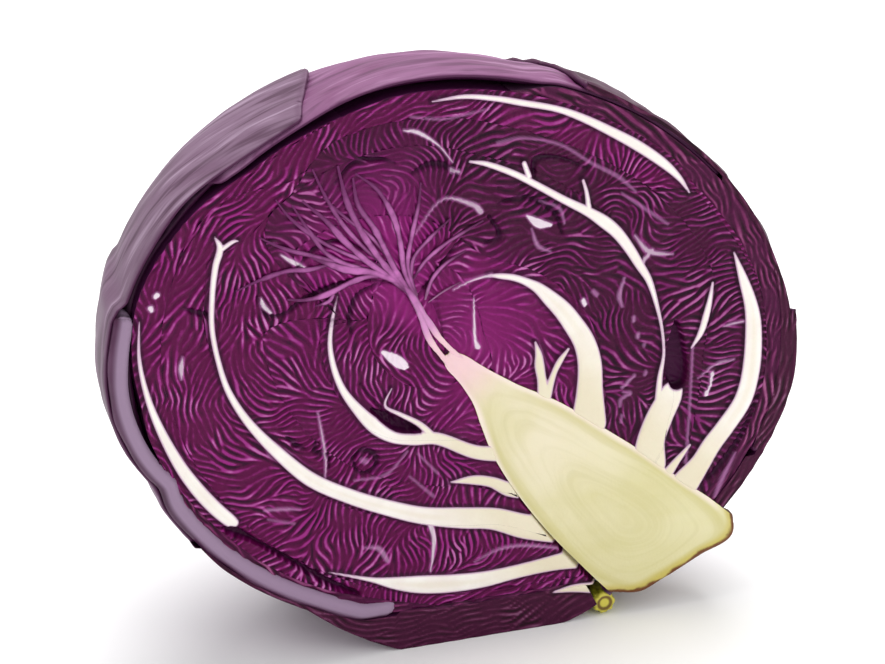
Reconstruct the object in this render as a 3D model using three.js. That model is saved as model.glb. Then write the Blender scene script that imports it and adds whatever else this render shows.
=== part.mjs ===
// Half of a red cabbage, cut lengthwise through its stem, standing on its outer leaves.
// The cut face looks along -Y, the stem end is low on the right and +Z is up. Millimetres.
// Every leaf is a curved plate packed round the heart, so its surfaces are given as a reach
// from the heart: one number for every way out of the heart.

import * as THREE from "three";

// The heart is the tip of the stem. All the leaves are packed round it.
const HEART_X = -4.2;
const HEART_Z = 77.5;
const CUT_Y = -40.8;
const STEM_SLOPE_DEG = -48;

// The clear space left between a leaf and what it is packed on, and the thinnest leaf edge.
const GAP = 0.45;
const EDGE_THICKNESS = 0.9;
const HEART_HOLLOW = 1.2;

// How far above the floor the flattened leaves stay that the head doesn't stand on.
const LEAF_LIFT = 10.5;

// The outside of the whole head on the cut face: [degrees round from the stem, reach in mm].
// Positive degrees go up the right side, negative ones go under and up the left side.
const OUTLINE = [
  [-190, 75], [-178, 77], [-165, 79.5], [-150, 81.2], [-138, 81], [-124, 79.2], [-112, 77], [-98, 73.4],
  [-86, 71], [-73, 71], [-62, 74], [-50, 78.5], [-42, 80.5], [-30, 82.5], [-18, 84], [0, 87.5],
  [12, 89.6], [21, 91], [30, 92], [38, 91], [47, 88.4], [56, 85], [68, 81], [80, 77], [93, 73.8],
  [107, 72], [120, 71.4], [135, 71.6], [150, 72.6], [165, 74.2], [182, 77],
];
const BACK_REACH = 80;
const ROUNDNESS = 2;

// Low down behind the cut the leaves have slumped outwards, by this share of their reach. It
// comes in over these steepnesses below the heart, and over these degrees behind the cut.
const SLUMP = 0.175;
const SLUMP_BELOW = [0.55, 0.86];
const SLUMP_BEHIND = [4, 26];

// A leaf thins towards its outline, from all of its thickness to this share of it, over this
// part of the way in from the outline. Its outer surface is set by its reach on the cut face
// and turns into its share of the head this far back.
const EDGE_SHARE = 0.35;
const EDGE_TAPER = [-0.02, 0.16];
const SHARE_FROM_DEG = 80;

// The stem core: [distance from the heart, half width], the cut across its end, and the
// broken-off stalk beside it.
const CORE = [
  [2.2, 0.9], [6, 2.3], [12, 4], [20, 6.1], [33, 9.4], [46, 12.4], [60, 15], [72, 16.6], [84, 17.2],
];
const CORE_SIDES = 14;
const STEM_END = 86;
const STEM_END_SLANT = 0.4;
const STEM_END_BULGE = 1.6;
const STEM_END_RIM = 2;
const STEM_END_HIGH_SPOT = 0.4;
const CORE_CLEARANCE_DEG = 2.4;
const STALK_ROOM = 7;
const STALK = { x: 41.6, z: -74.2, radius: 3, length: 10, sides: 14, taper: 0.8 };

// Steps round the cut face and back from it. They are shared by all the leaves, so that a
// leaf and the one packed on it have matching faces and never cross.
const AROUND = [
  -180, -169, -158, -147, -136, -125, -114, -103, -92, -81, -70, -60, -50, -41, -32, -24, -16, -8,
  0, 8, 16, 24, 32, 41, 50, 60, 70, 81, 92, 103, 114, 125, 136, 147, 158, 169,
];
const BEHIND = [0, 10, 20, 31, 46, 64];

// A leaf's outline crosses a step of the net no nearer than this to either end of it.
const LEAST_STEP = 0.06;

// The leaves, from the heart outwards. "side" is how far round the stem the leaf stands, in
// degrees: 0 is the right side, 90 the back and 180 the left side. "middle" is how far its
// middle is from the stem, "half_length" and "half_width" are its size, all in degrees seen
// from the heart. "reach" is its outer surface on the cut face, and "share" the same surface
// as a share of the whole head at the back. A leaf with no reach misses the cut. "plate" is
// the leaf's own thickness, if it doesn't fill the space below it, and "set_back" is how far
// its front edge is behind the cut.
const LEAVES = [
  {
    name: "heart_bud", side: 180, middle: 100, half_length: 118, half_width: 110, share: 0.24,
    reach: [[-180, 25], [-150, 20], [-120, 15], [-90, 11.5], [-60, 9.5], [-17, 8.5], [17, 8], [76, 7.6],
      [106, 10], [130, 15], [160, 22]],
  },
  {
    name: "heart_leaf_1", side: 0, middle: 83, half_length: 102, half_width: 98, share: 0.3,
    reach: [[-180, 31], [17, 13], [24, 12.6], [50, 10.6], [76, 10.4], [106, 13.8], [122, 17.8], [150, 25]],
  },
  {
    name: "heart_leaf_2", side: 180, middle: 72, half_length: 90, half_width: 98, share: 0.4,
    reach: [[-180, 37], [-165, 34.5], [-151, 32.5], [-136, 30.2], [-117, 27.8], [-94, 26], [-73, 24.2],
      [-53, 22.6], [-33, 23.8], [-17, 28.5]],
  },
  {
    name: "heart_leaf_3", side: 180, middle: 70, half_length: 88, half_width: 94, share: 0.54,
    reach: [[-180, 48], [-165, 48], [-150, 47], [-140, 44.5], [-120, 40], [-100, 36.8], [-80, 35],
      [-60, 34], [-40, 35.6], [-30, 37.6], [-17, 44]],
  },
  {
    name: "heart_leaf_4", side: 0, middle: 93, half_length: 112, half_width: 96, share: 0.48,
    reach: [[17, 48], [24, 44.5], [33, 41], [40, 39.4], [55, 35.8], [70, 31.6], [85, 28.4], [107, 25],
      [125, 26.5], [145, 34], [165, 41], [185, 47], [205, 50]],
  },
  {
    name: "head_leaf_1", side: 0, middle: 91, half_length: 109, half_width: 94, share: 0.64,
    reach: [[17, 65], [22, 63], [29, 61.4], [35, 58.4], [43, 55.3], [55, 53.3], [65, 52.4], [75, 51],
      [84, 49.4], [101, 48], [118, 48.2], [129, 49.2], [145, 53], [162, 56], [180, 58], [200, 60]],
  },
  {
    name: "head_leaf_2", side: 180, middle: 78, half_length: 97, half_width: 94, share: 0.72,
    reach: [[-180, 66], [-170, 66], [-161, 65], [-153, 62.3], [-146, 60], [-136, 56], [-125, 52.4],
      [-112, 48.7], [-98, 46.2], [-81, 44.8], [-64, 43.8], [-48, 44.7], [-35, 46.8], [-25, 50], [-15, 59]],
  },
  {
    name: "head_leaf_3", side: 0, middle: 81, half_length: 97, half_width: 82, share: 0.76,
    reach: [[17, 72], [25, 69.5], [33, 67.6], [41, 66.6], [49, 67.6], [55, 68.6], [65, 66.5], [80, 62],
      [100, 57.5], [120, 56.5], [140, 59], [158, 61.5], [178, 64]],
  },
  {
    name: "head_leaf_4", side: 180, middle: 86, half_length: 102, half_width: 86, share: 0.8,
    reach: [[-190, 68], [-170, 71], [-160, 71.5], [-140, 69.5], [-120, 65.5], [-100, 62.6],
      [-85, 61.6], [-70, 61.4], [-57, 62.4], [-48, 63.4], [-34, 65.8], [-21, 69.9], [-14, 74]],
  },
  {
    name: "head_leaf_5", side: 0, middle: 36, half_length: 46, half_width: 62, share: 0.84,
    reach: [[12, 82.6], [20, 83.8], [27, 84.4], [34, 84.2], [42, 82.7], [52, 80], [60, 76.4], [72, 71.5],
      [92, 66]],
  },
  {
    name: "head_leaf_6", side: 0, middle: 128, half_length: 77, half_width: 84, share: 0.86,
    reach: [[56, 74.5], [66, 72.6], [76, 71], [84, 70.2], [92, 68.4], [102, 66.2], [114, 65], [126, 64.6],
      [137, 65.3], [150, 67.4], [165, 69.5], [180, 71], [205, 74]],
  },
  {
    name: "head_leaf_7", side: 180, middle: 94, half_length: 106, half_width: 90, share: 0.88,
    reach: [[-205, 70], [-190, 71], [-180, 72], [-170, 73.6], [-164, 75.4], [-156, 77.4],
      [-150, 78.2], [-143, 77.4], [-136, 75.7], [-128, 73], [-120, 70.9], [-114, 69.4], [-106, 68],
      [-98, 67], [-84, 66.2], [-68, 65.2], [-52, 65.4], [-35, 69.6], [-20, 76], [-14, 79]],
  },
  {
    name: "outer_leaf_1", side: 0, middle: 56, half_length: 68, half_width: 84, share: 0.92,
    reach: [[12, 86], [30, 87.6], [45, 85.2], [60, 80.4], [80, 73.4], [100, 69.2], [118, 68], [130, 68.4]],
  },
  {
    name: "outer_leaf_2", side: 178, middle: 52, half_length: 66, half_width: 76, share: 0.93,
    reach: [[-122, 75], [-109, 72.4], [-98, 70.2], [-84, 68.4], [-68, 67.6], [-52, 68.8], [-35, 73],
      [-20, 79.5], [-13, 81]],
  },
  {
    name: "outer_leaf_3", side: 90, middle: 104, half_length: 84, half_width: 78, share: 0.95,
    plate: 5, set_back: 4,
  },
  {
    name: "wrapper_leaf_top", side: 42, middle: 122, half_length: 62, half_width: 58, share: 0.975,
    plate: 3.2, set_back: 1.2,
    reach: [[80, 74.6], [93, 73], [107, 71.4], [120, 70.9], [135, 71.3], [150, 72.3], [165, 73.2],
      [180, 74.6], [200, 77]],
  },
  {
    name: "wrapper_leaf_right", side: 16, middle: 66, half_length: 44, half_width: 66, share: 0.985,
    plate: 4.2,
    reach: [[22, 89.4], [30, 90], [38, 90.2], [47, 88.2], [56, 84.8], [68, 80.8], [80, 76.8], [93, 73.6],
      [107, 72], [120, 71]],
  },
  {
    name: "wrapper_leaf_stem", side: 30, middle: 20, half_length: 23, half_width: 60, share: 1,
    plate: 3.6,
    reach: [[10, 89.4], [21, 91], [30, 92], [36, 92], [41, 91], [50, 89]],
  },
  {
    name: "wrapper_leaf_back", side: 102, middle: 78, half_length: 64, half_width: 66, share: 0.99,
    plate: 3.6, set_back: 16,
  },
  {
    name: "wrapper_leaf_low_left", side: 172, middle: 96, half_length: 40, half_width: 64, share: 0.998,
    plate: 3.2, set_back: 0.8,
    reach: [[-140, 81.4], [-124, 79.8], [-112, 77.4], [-98, 74.4], [-86, 72.2], [-73, 72], [-60, 75]],
  },
  {
    name: "wrapper_leaf_left", side: 156, middle: 142, half_length: 54, half_width: 52, share: 1.012,
    plate: 3.4, set_back: 1.6,
    reach: [[-205, 75.4], [-196, 75.8], [-186, 76.6], [-178, 78], [-165, 80.6], [-150, 82.2], [-138, 82],
      [-124, 80.2], [-110, 78]],
  },
  {
    name: "wrapper_leaf_under", side: 158, middle: 45, half_length: 56, half_width: 66, share: 1,
    plate: 6.5, lift: 0,
    reach: [[-108, 74], [-98, 72.6], [-86, 71], [-73, 71.4], [-62, 74.4], [-50, 78.4], [-42, 80], [-30, 82],
      [-18, 83.6], [-12, 83.8]],
  },
];

const RAD = Math.PI / 180;
const heart = new THREE.Vector3(HEART_X, CUT_Y, HEART_Z);
const stemWay = new THREE.Vector3(Math.cos(STEM_SLOPE_DEG * RAD), 0, Math.sin(STEM_SLOPE_DEG * RAD));
const rightWay = new THREE.Vector3(-stemWay.z, 0, stemWay.x);
const backWay = new THREE.Vector3(0, 1, 0);
const STALK_REACH = Math.hypot(STALK.x, STALK.z);
const stalkWay = new THREE.Vector3(STALK.x, STALK.length / 2, STALK.z).normalize();

// A smooth curve through a list of [place, value] pairs, level beyond both ends.
function curve(points, at) {
  const sorted = [...points].sort((a, b) => a[0] - b[0]);
  const last = sorted.length - 1;
  if (at <= sorted[0][0]) return sorted[0][1];
  if (at >= sorted[last][0]) return sorted[last][1];
  let i = 0;
  while (sorted[i + 1][0] < at) i += 1;
  const slope = (j) => {
    const before = sorted[Math.max(j - 1, 0)];
    const after = sorted[Math.min(j + 1, last)];
    return (after[1] - before[1]) / (after[0] - before[0]);
  };
  const [x0, y0] = sorted[i];
  const [x1, y1] = sorted[i + 1];
  const width = x1 - x0;
  const t = (at - x0) / width;
  const rise = t * t * (3 - 2 * t);
  const lean = t * (1 - t) * ((1 - t) * slope(i) - t * slope(i + 1));
  return y0 + (y1 - y0) * rise + width * lean;
}

function smooth(low, high, value) {
  const t = Math.min(Math.max((value - low) / (high - low), 0), 1);
  return t * t * (3 - 2 * t);
}

// A leaf that goes over the crown carries on past 180 degrees on the other side.
function continued(points, around) {
  const middle = (points[0][0] + points[points.length - 1][0]) / 2;
  return around + 360 * Math.round((middle - around) / 360);
}

// A way out of the heart: degrees round the cut face from the stem, and degrees behind it.
function wayOut(around, behind) {
  const flat = Math.cos(behind * RAD);
  return new THREE.Vector3()
    .addScaledVector(stemWay, Math.cos(around * RAD) * flat)
    .addScaledVector(rightWay, Math.sin(around * RAD) * flat)
    .addScaledVector(backWay, Math.sin(behind * RAD));
}

// The shared net of ways out of the heart, ending in one way straight back.
const net = [];
for (const behind of BEHIND) {
  for (const around of AROUND) {
    net.push({ around, behind, way: wayOut(around, behind) });
  }
}
const straightBack = net.length;
net.push({ around: 90, behind: 90, way: wayOut(90, 90) });

const netFaces = [];
BEHIND.forEach((_, row) => {
  AROUND.forEach((__, column) => {
    const next = (column + 1) % AROUND.length;
    const a = row * AROUND.length + column;
    const b = row * AROUND.length + next;
    if (row === BEHIND.length - 1) {
      netFaces.push([a, b, straightBack]);
      return;
    }
    netFaces.push([a, b, b + AROUND.length]);
    netFaces.push([a, b + AROUND.length, a + AROUND.length]);
  });
});

// The outside of the head, before it is flattened where it stands.
function outside({ around, behind, way }) {
  const side = Math.cos(behind * RAD) / curve(OUTLINE, around);
  const back = Math.sin(behind * RAD) / BACK_REACH;
  const round = (side ** ROUNDNESS + back ** ROUNDNESS) ** (-1 / ROUNDNESS);
  return round * (1 + SLUMP * smooth(...SLUMP_BELOW, -way.z) * smooth(...SLUMP_BEHIND, behind));
}

// A flat level under the head: the floor for the leaf it stands on, higher for the others.
function floorReach(way, lift = LEAF_LIFT) {
  return way.z < 0 ? (HEART_Z - lift) / -way.z : Infinity;
}

function coreAngle(reach) {
  const widths = CORE.map(([along, width]) => [Math.hypot(along, width), Math.atan2(width, along) / RAD]);
  return curve(widths, reach);
}

// The leaf's outer surface, and how far inside its outline a way out of the heart is:
// one in its middle, nothing on its edge, less outside.
function leafReach(leaf, point) {
  if (!leaf.reach) return leaf.share * outside(point);
  const onFace = curve(leaf.reach, continued(leaf.reach, point.around)) / curve(OUTLINE, point.around);
  const share = onFace + (leaf.share - onFace) * smooth(0, SHARE_FROM_DEG, point.behind);
  return share * outside(point);
}

function insideOutline(leaf, way) {
  const turn = leaf.side * RAD;
  const middle = leaf.middle * RAD;
  const outwards = new THREE.Vector3()
    .addScaledVector(rightWay, Math.cos(turn))
    .addScaledVector(backWay, Math.sin(turn));
  const centre = new THREE.Vector3()
    .addScaledVector(stemWay, Math.cos(middle))
    .addScaledVector(outwards, Math.sin(middle));
  const lengthways = new THREE.Vector3()
    .addScaledVector(stemWay, -Math.sin(middle))
    .addScaledVector(outwards, Math.cos(middle));
  const sideways = new THREE.Vector3().crossVectors(centre, lengthways);
  const far = Math.acos(Math.min(Math.max(way.dot(centre), -1), 1)) / RAD;
  const x = way.dot(lengthways);
  const y = way.dot(sideways);
  const size = Math.hypot(x, y) || 1;
  return 1 - (far / size) * Math.hypot(x / leaf.half_length, y / leaf.half_width);
}

const filled = net.map(() => HEART_HOLLOW);

// One leaf: the part of the net inside its outline, cut along that outline, as an inner and
// an outer skin joined by a wall.
function leafGeometry(leaf) {
  const setBack = leaf.set_back || 0;
  const room = net.map((point, i) => {
    const base = Math.acos(Math.min(point.way.dot(stemWay), 1)) / RAD;
    const offCore = (base - coreAngle(filled[i] + GAP) - CORE_CLEARANCE_DEG) / leaf.half_length;
    const nearStalk = leafReach(leaf, point) > STALK_REACH - STALK_ROOM;
    const offStalk = nearStalk ? (point.way.angleTo(stalkWay) / RAD - STALK_ROOM) / leaf.half_length : 1;
    const offCut = setBack ? (point.behind - setBack) / leaf.half_length : 1;
    return Math.min(insideOutline(leaf, point.way), offCore, offStalk, offCut);
  });
  const used = net.map(() => false);
  for (const face of netFaces) {
    if (face.some((i) => room[i] > 0)) {
      for (const i of face) used[i] = true;
    }
  }
  const inner = [];
  const outer = [];
  net.forEach((point, i) => {
    const rest = filled[i] + GAP;
    const wanted = Math.min(leafReach(leaf, point), floorReach(point.way, leaf.lift));
    const taper = smooth(...EDGE_TAPER, insideOutline(leaf, point.way));
    const plate = leaf.plate || Infinity;
    const ceiling = Math.max(wanted, rest + EDGE_THICKNESS);
    const top = leaf.plate ? ceiling : rest + EDGE_THICKNESS + (ceiling - rest - EDGE_THICKNESS) * taper;
    outer[i] = top;
    const thick = Math.max(plate * (EDGE_SHARE + (1 - EDGE_SHARE) * taper), EDGE_THICKNESS);
    inner[i] = Math.max(rest, outer[i] - thick);
    if (used[i]) filled[i] = outer[i];
  });

  const corners = new Map();
  const points = [];
  function corner(a, b) {
    const key = a === b ? `${a}` : `${Math.min(a, b)}_${Math.max(a, b)}`;
    if (!corners.has(key)) {
      const [low, high] = a < b ? [a, b] : [b, a];
      const crossing = room[low] / (room[low] - room[high]);
      const share = a === b ? 0 : Math.min(Math.max(crossing, LEAST_STEP), 1 - LEAST_STEP);
      const place = (reach) => {
        const start = net[low].way.clone().multiplyScalar(reach[low]);
        const end = net[high].way.clone().multiplyScalar(reach[high]);
        return start.lerp(end, share).add(heart);
      };
      corners.set(key, points.length / 2);
      points.push(place(inner), place(outer));
    }
    return corners.get(key);
  }
  const shapes = [];
  for (const face of netFaces) {
    const shape = [];
    face.forEach((a, k) => {
      const b = face[(k + 1) % face.length];
      if (room[a] > 0) shape.push(corner(a, a));
      if (room[a] > 0 !== room[b] > 0) shape.push(corner(a, b));
    });
    for (let k = 1; k + 1 < shape.length; k += 1) shapes.push([shape[0], shape[k], shape[k + 1]]);
  }
  const index = [];
  const edges = new Set();
  for (const [a, b, c] of shapes) {
    index.push(2 * a + 1, 2 * c + 1, 2 * b + 1);
    index.push(2 * a, 2 * b, 2 * c);
    for (const [from, to] of [[a, b], [b, c], [c, a]]) edges.add(`${from}_${to}`);
  }
  for (const edge of edges) {
    const [from, to] = edge.split("_").map(Number);
    if (edges.has(`${to}_${from}`)) continue;
    index.push(2 * from, 2 * from + 1, 2 * to + 1);
    index.push(2 * from, 2 * to + 1, 2 * to);
  }
  return solid(points, index);
}

function solid(points, index) {
  const geometry = new THREE.BufferGeometry();
  const flat = points.flatMap((p) => [p.x, p.y, p.z]);
  geometry.setAttribute("position", new THREE.Float32BufferAttribute(flat, 3));
  geometry.setIndex(index);
  geometry.computeVertexNormals();
  return geometry;
}

// The stem core: half a cone on the cut plane, cut off at a slant, with a slightly domed end.
function coreGeometry() {
  const points = [];
  const rings = CORE.length + 1;
  for (let ring = 0; ring < rings; ring += 1) {
    const [along, width] = CORE[Math.min(ring, CORE.length - 1)];
    for (let side = 0; side <= CORE_SIDES; side += 1) {
      const turn = (Math.PI * side) / CORE_SIDES;
      const slant = STEM_END_SLANT * width * Math.cos(turn);
      const end = STEM_END + slant;
      const distance = ring === rings - 1 ? end : Math.min(along, end - STEM_END_RIM);
      points.push(
        heart.clone()
          .addScaledVector(stemWay, distance)
          .addScaledVector(rightWay, width * Math.cos(turn))
          .addScaledVector(backWay, width * Math.sin(turn)),
      );
    }
  }
  const tip = points.length;
  points.push(heart.clone().addScaledVector(stemWay, CORE[0][0] - CORE[0][1]));
  const end = points.length;
  const endWidth = CORE[CORE.length - 1][1];
  points.push(
    heart.clone()
      .addScaledVector(stemWay, STEM_END + STEM_END_BULGE)
      .addScaledVector(backWay, endWidth * STEM_END_HIGH_SPOT),
  );
  const index = [];
  const across = CORE_SIDES + 1;
  for (let ring = 0; ring < rings - 1; ring += 1) {
    for (let side = 0; side < CORE_SIDES; side += 1) {
      const a = ring * across + side;
      index.push(a, a + across + 1, a + 1);
      index.push(a, a + across, a + across + 1);
    }
    const first = ring * across;
    const last = first + CORE_SIDES;
    index.push(first, last + across, first + across);
    index.push(first, last, last + across);
  }
  const lastRing = (rings - 1) * across;
  for (let side = 0; side < CORE_SIDES; side += 1) {
    index.push(tip, side, side + 1);
    index.push(end, lastRing + side + 1, lastRing + side);
  }
  index.push(tip, CORE_SIDES, 0);
  index.push(end, lastRing, lastRing + CORE_SIDES);
  return solid(points, index);
}

// The stub of a broken-off leaf stalk, lying square to the cut face beside the stem end.
function stalkGeometry() {
  const outline = [
    new THREE.Vector2(0, 0),
    new THREE.Vector2(STALK.radius * STALK.taper, 0),
    new THREE.Vector2(STALK.radius, STALK.radius * (1 - STALK.taper)),
    new THREE.Vector2(STALK.radius, STALK.length * STALK.taper),
    new THREE.Vector2(STALK.radius * STALK.taper, STALK.length),
    new THREE.Vector2(0, STALK.length),
  ];
  const geometry = new THREE.LatheGeometry(outline, STALK.sides);
  geometry.translate(HEART_X + STALK.x, CUT_Y, HEART_Z + STALK.z);
  return geometry;
}

const COLOURS = { core: 0xe3dcb0, heart: 0xb05090, head: 0x6e2468, outer: 0x5a2a50, wrapper: 0x8a6480 };

function piece(name, colour, geometry) {
  const material = new THREE.MeshStandardMaterial({ color: colour, roughness: 0.6 });
  material.name = `${name}_surface`;
  const mesh = new THREE.Mesh(geometry, material);
  mesh.name = name;
  return mesh;
}

const group = new THREE.Group();
group.name = "red_cabbage_half";
group.add(piece("stem_core", COLOURS.core, coreGeometry()));
group.add(piece("stalk_stub", COLOURS.core, stalkGeometry()));
for (const leaf of LEAVES) {
  group.add(piece(leaf.name, COLOURS[leaf.name.split("_")[0]], leafGeometry(leaf)));
}

export default group;
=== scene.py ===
import bpy
import numpy as np
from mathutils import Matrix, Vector


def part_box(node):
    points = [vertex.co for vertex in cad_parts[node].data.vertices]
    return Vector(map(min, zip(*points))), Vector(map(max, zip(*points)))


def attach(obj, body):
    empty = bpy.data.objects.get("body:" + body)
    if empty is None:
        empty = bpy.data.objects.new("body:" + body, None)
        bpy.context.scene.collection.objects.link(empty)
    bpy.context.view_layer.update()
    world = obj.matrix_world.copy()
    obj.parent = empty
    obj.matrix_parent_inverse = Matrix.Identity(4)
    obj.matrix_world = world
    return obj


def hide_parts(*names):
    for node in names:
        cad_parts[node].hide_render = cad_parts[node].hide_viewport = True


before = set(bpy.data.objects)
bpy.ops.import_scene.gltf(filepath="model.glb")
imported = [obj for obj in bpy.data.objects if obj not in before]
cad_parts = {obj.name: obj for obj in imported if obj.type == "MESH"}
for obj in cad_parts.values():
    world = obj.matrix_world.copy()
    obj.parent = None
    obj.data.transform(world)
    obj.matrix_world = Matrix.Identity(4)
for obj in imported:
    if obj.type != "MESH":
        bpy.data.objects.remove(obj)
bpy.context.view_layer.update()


# ---------------------------------------------------------------- the stem
# The stem runs up into the head as far as the heart, where the youngest leaves grow from it.
# It is pale watery flesh, cut in half with the head. Its lower end is an older cut that has
# dried and browned. All the sizes are in millimetres until a mesh is made.

MM = 0.001
CUT_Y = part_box("stem_core")[0].y / MM
HEART = np.array([-4.2, CUT_Y, 77.5])
STEM_SLOPE_DEG = -48


def curve(points, at):
    """A smooth curve through [place, value] pairs, level beyond both ends."""
    points = np.array(points, float)
    x, y = points[np.argsort(points[:, 0], kind="stable")].T
    at = np.clip(at, x[0], x[-1])
    i = np.clip(np.searchsorted(x, at, side="right") - 1, 0, len(x) - 2)
    after = np.minimum(np.arange(len(x)) + 1, len(x) - 1)
    before = np.maximum(np.arange(len(x)) - 1, 0)
    slope = (y[after] - y[before]) / (x[after] - x[before])
    width = x[i + 1] - x[i]
    t = (at - x[i]) / width
    lean = t * (1 - t) * ((1 - t) * slope[i] - t * slope[i + 1])
    return y[i] + (y[i + 1] - y[i]) * t * t * (3 - 2 * t) + width * lean


def smooth(low, high, value):
    t = np.clip((value - low) / (high - low), 0, 1)
    return t * t * (3 - 2 * t)


def way_out(around, behind):
    """The direction that is so many degrees round from the stem and behind the cut."""
    turn = np.radians(np.asarray(around, float) + STEM_SLOPE_DEG)
    back = np.radians(np.asarray(behind, float))
    return np.stack([np.cos(turn) * np.cos(back), np.sin(back) + 0 * turn,
                     np.sin(turn) * np.cos(back)], -1)


def on_cut(around, reach):
    """Where on the cut face a point is: x and z measured from the heart."""
    turn = np.radians(np.asarray(around, float) + STEM_SLOPE_DEG)
    return np.stack([np.cos(turn), np.sin(turn)], -1) * np.asarray(reach, float)[..., None]


def node(tree, kind, inputs=None, **settings):
    """Adds a node, sets it up and wires its inputs, which are values or other sockets."""
    made = tree.nodes.new(kind)
    for name, value in settings.items():
        setattr(made, name, value)
    for name, value in (inputs or {}).items():
        if isinstance(value, bpy.types.NodeSocket):
            tree.links.new(value, made.inputs[name])
        else:
            made.inputs[name].default_value = value
    return made


def sums(tree, operation, *values):
    """A sum worked out from values and sockets."""
    inputs = dict(enumerate(values))
    return node(tree, "ShaderNodeMath", inputs, operation=operation).outputs[0]


def times(tree, *values):
    return sums(tree, "MULTIPLY", *values)


def between(tree, value, low, high, start=0.0, end=1.0):
    """start where value is at low, end where it is at high, and smooth in between."""
    inputs = {"Value": value, "From Min": low, "From Max": high, "To Min": start, "To Max": end}
    made = node(tree, "ShaderNodeMapRange", inputs, interpolation_type="SMOOTHSTEP")
    return made.outputs["Result"]


def rgb(code):
    """A colour written as RRGGBB, as linear light."""
    parts = [int(code[i:i + 2], 16) / 255 for i in (0, 2, 4)]
    return [p / 12.92 if p < 0.04045 else ((p + 0.055) / 1.055) ** 2.4 for p in parts] + [1.0]


def blend(tree, share, first, second):
    """A colour between two colours, each a code or a socket."""
    pair = [rgb(c) if isinstance(c, str) else c for c in (first, second)]
    made = node(tree, "ShaderNodeMix", {"Factor": share, 6: pair[0], 7: pair[1]}, data_type="RGBA")
    return made.outputs[2]


def grown(tree, name):
    """What was worked out along the surface when the piece was made."""
    return node(tree, "ShaderNodeAttribute", attribute_name=name).outputs["Fac"]


def noise(tree, scale, detail=3.0, stretch=(1, 1, 1), place=None, rough=0.5, twist=0.0):
    """Cloudy noise in the piece's own coordinates, or at a place given."""
    if place is None:
        place = node(tree, "ShaderNodeTexCoord").outputs["Object"]
    mapped = node(tree, "ShaderNodeMapping", {"Vector": place, "Scale": stretch}).outputs[0]
    made = node(tree, "ShaderNodeTexNoise", {"Vector": mapped, "Scale": scale, "Detail": detail,
                                             "Roughness": rough, "Distortion": twist})
    return made.outputs["Fac"]


def new_material(name):
    material = bpy.data.materials.new(name)
    material.use_nodes = True
    tree = material.node_tree
    tree.nodes.clear()
    shader = tree.nodes.new("ShaderNodeBsdfPrincipled")
    output = tree.nodes.new("ShaderNodeOutputMaterial")
    tree.links.new(shader.outputs[0], output.inputs[0])
    return material, tree, shader


def wire(tree, made, **sockets):
    """Feeds a node's sockets by name: Base_Color=..., Roughness=... and so on."""
    for name, value in sockets.items():
        socket = made.inputs[name.replace("_", " ")]
        if isinstance(value, bpy.types.NodeSocket):
            tree.links.new(value, socket)
        else:
            socket.default_value = value


def effect_group(name, inputs, outputs):
    """An empty shader node group with named sockets, and its two end nodes."""
    tree = bpy.data.node_groups.new(name, "ShaderNodeTree")
    for label, kind, value in inputs:
        socket = tree.interface.new_socket(label, in_out="INPUT", socket_type=kind)
        socket.default_value = value
    for label, kind in outputs:
        tree.interface.new_socket(label, in_out="OUTPUT", socket_type=kind)
    return tree, tree.nodes.new("NodeGroupInput").outputs, tree.nodes.new("NodeGroupOutput").inputs


def use_group(tree, group, **inputs):
    """Places an effect group in a material with its own values, and returns its outputs."""
    made = node(tree, "ShaderNodeGroup", node_tree=group)
    wire(tree, made, **inputs)
    return made.outputs


def new_mesh(name, points, faces, values, kinds=None):
    """A mesh from points in millimetres, triangles and quads, with named values on its points."""
    mesh = bpy.data.meshes.new(name)
    mesh.vertices.add(len(points))
    mesh.vertices.foreach_set("co", (np.asarray(points, float) * MM).ravel())
    corners = np.concatenate([np.asarray(f).ravel() for f in faces])
    sizes = np.concatenate([np.full(len(f), np.asarray(f).shape[1]) for f in faces])
    mesh.loops.add(len(corners))
    mesh.loops.foreach_set("vertex_index", corners.astype(np.int32))
    mesh.polygons.add(len(sizes))
    mesh.polygons.foreach_set("loop_start", (np.cumsum(sizes) - sizes).astype(np.int32))
    mesh.update(calc_edges=True)
    mesh.polygons.foreach_set("use_smooth", np.ones(len(sizes), bool))
    for label, value in values.items():
        data = mesh.attributes.new(label, "FLOAT", "POINT").data
        data.foreach_set("value", np.asarray(value, np.float32))
    if kinds is not None:
        data = mesh.attributes.new("kind", "INT", "FACE").data
        data.foreach_set("value", np.asarray(kinds, np.int32))
    mesh.update()
    return mesh


def new_object(name, mesh):
    made = bpy.data.objects.new(name, mesh)
    bpy.context.scene.collection.objects.link(made)
    return made


def geometry_tree(name, inputs):
    """A geometry node tree with named inputs. Returns it, its input sockets and its output."""
    tree = bpy.data.node_groups.new(name, "GeometryNodeTree")
    tree.interface.new_socket("Geometry", in_out="INPUT", socket_type="NodeSocketGeometry")
    for label, kind in inputs:
        tree.interface.new_socket(label, in_out="INPUT", socket_type="NodeSocket" + kind)
    tree.interface.new_socket("Geometry", in_out="OUTPUT", socket_type="NodeSocketGeometry")
    return tree, tree.nodes.new("NodeGroupInput").outputs, tree.nodes.new("NodeGroupOutput").inputs


def apply_tree(piece, tree, **inputs):
    """Runs a geometry node tree on a piece and keeps the result as its plain mesh."""
    modifier = piece.modifiers.new(tree.name, "NODES")
    modifier.node_group = tree
    for item in tree.interface.items_tree:
        if item.item_type == "SOCKET" and item.in_out == "INPUT" and item.name != "Geometry":
            modifier[item.identifier] = inputs[item.name.replace(" ", "_")]
    bpy.context.view_layer.update()
    ready = piece.evaluated_get(bpy.context.evaluated_depsgraph_get())
    mesh = bpy.data.meshes.new_from_object(ready)
    piece.modifiers.remove(modifier)
    old, piece.data = piece.data, mesh
    mesh.name = piece.name
    bpy.data.meshes.remove(old)


def finish_piece(piece, slot, *nodes):
    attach(piece, "root")
    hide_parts(*nodes)


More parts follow.
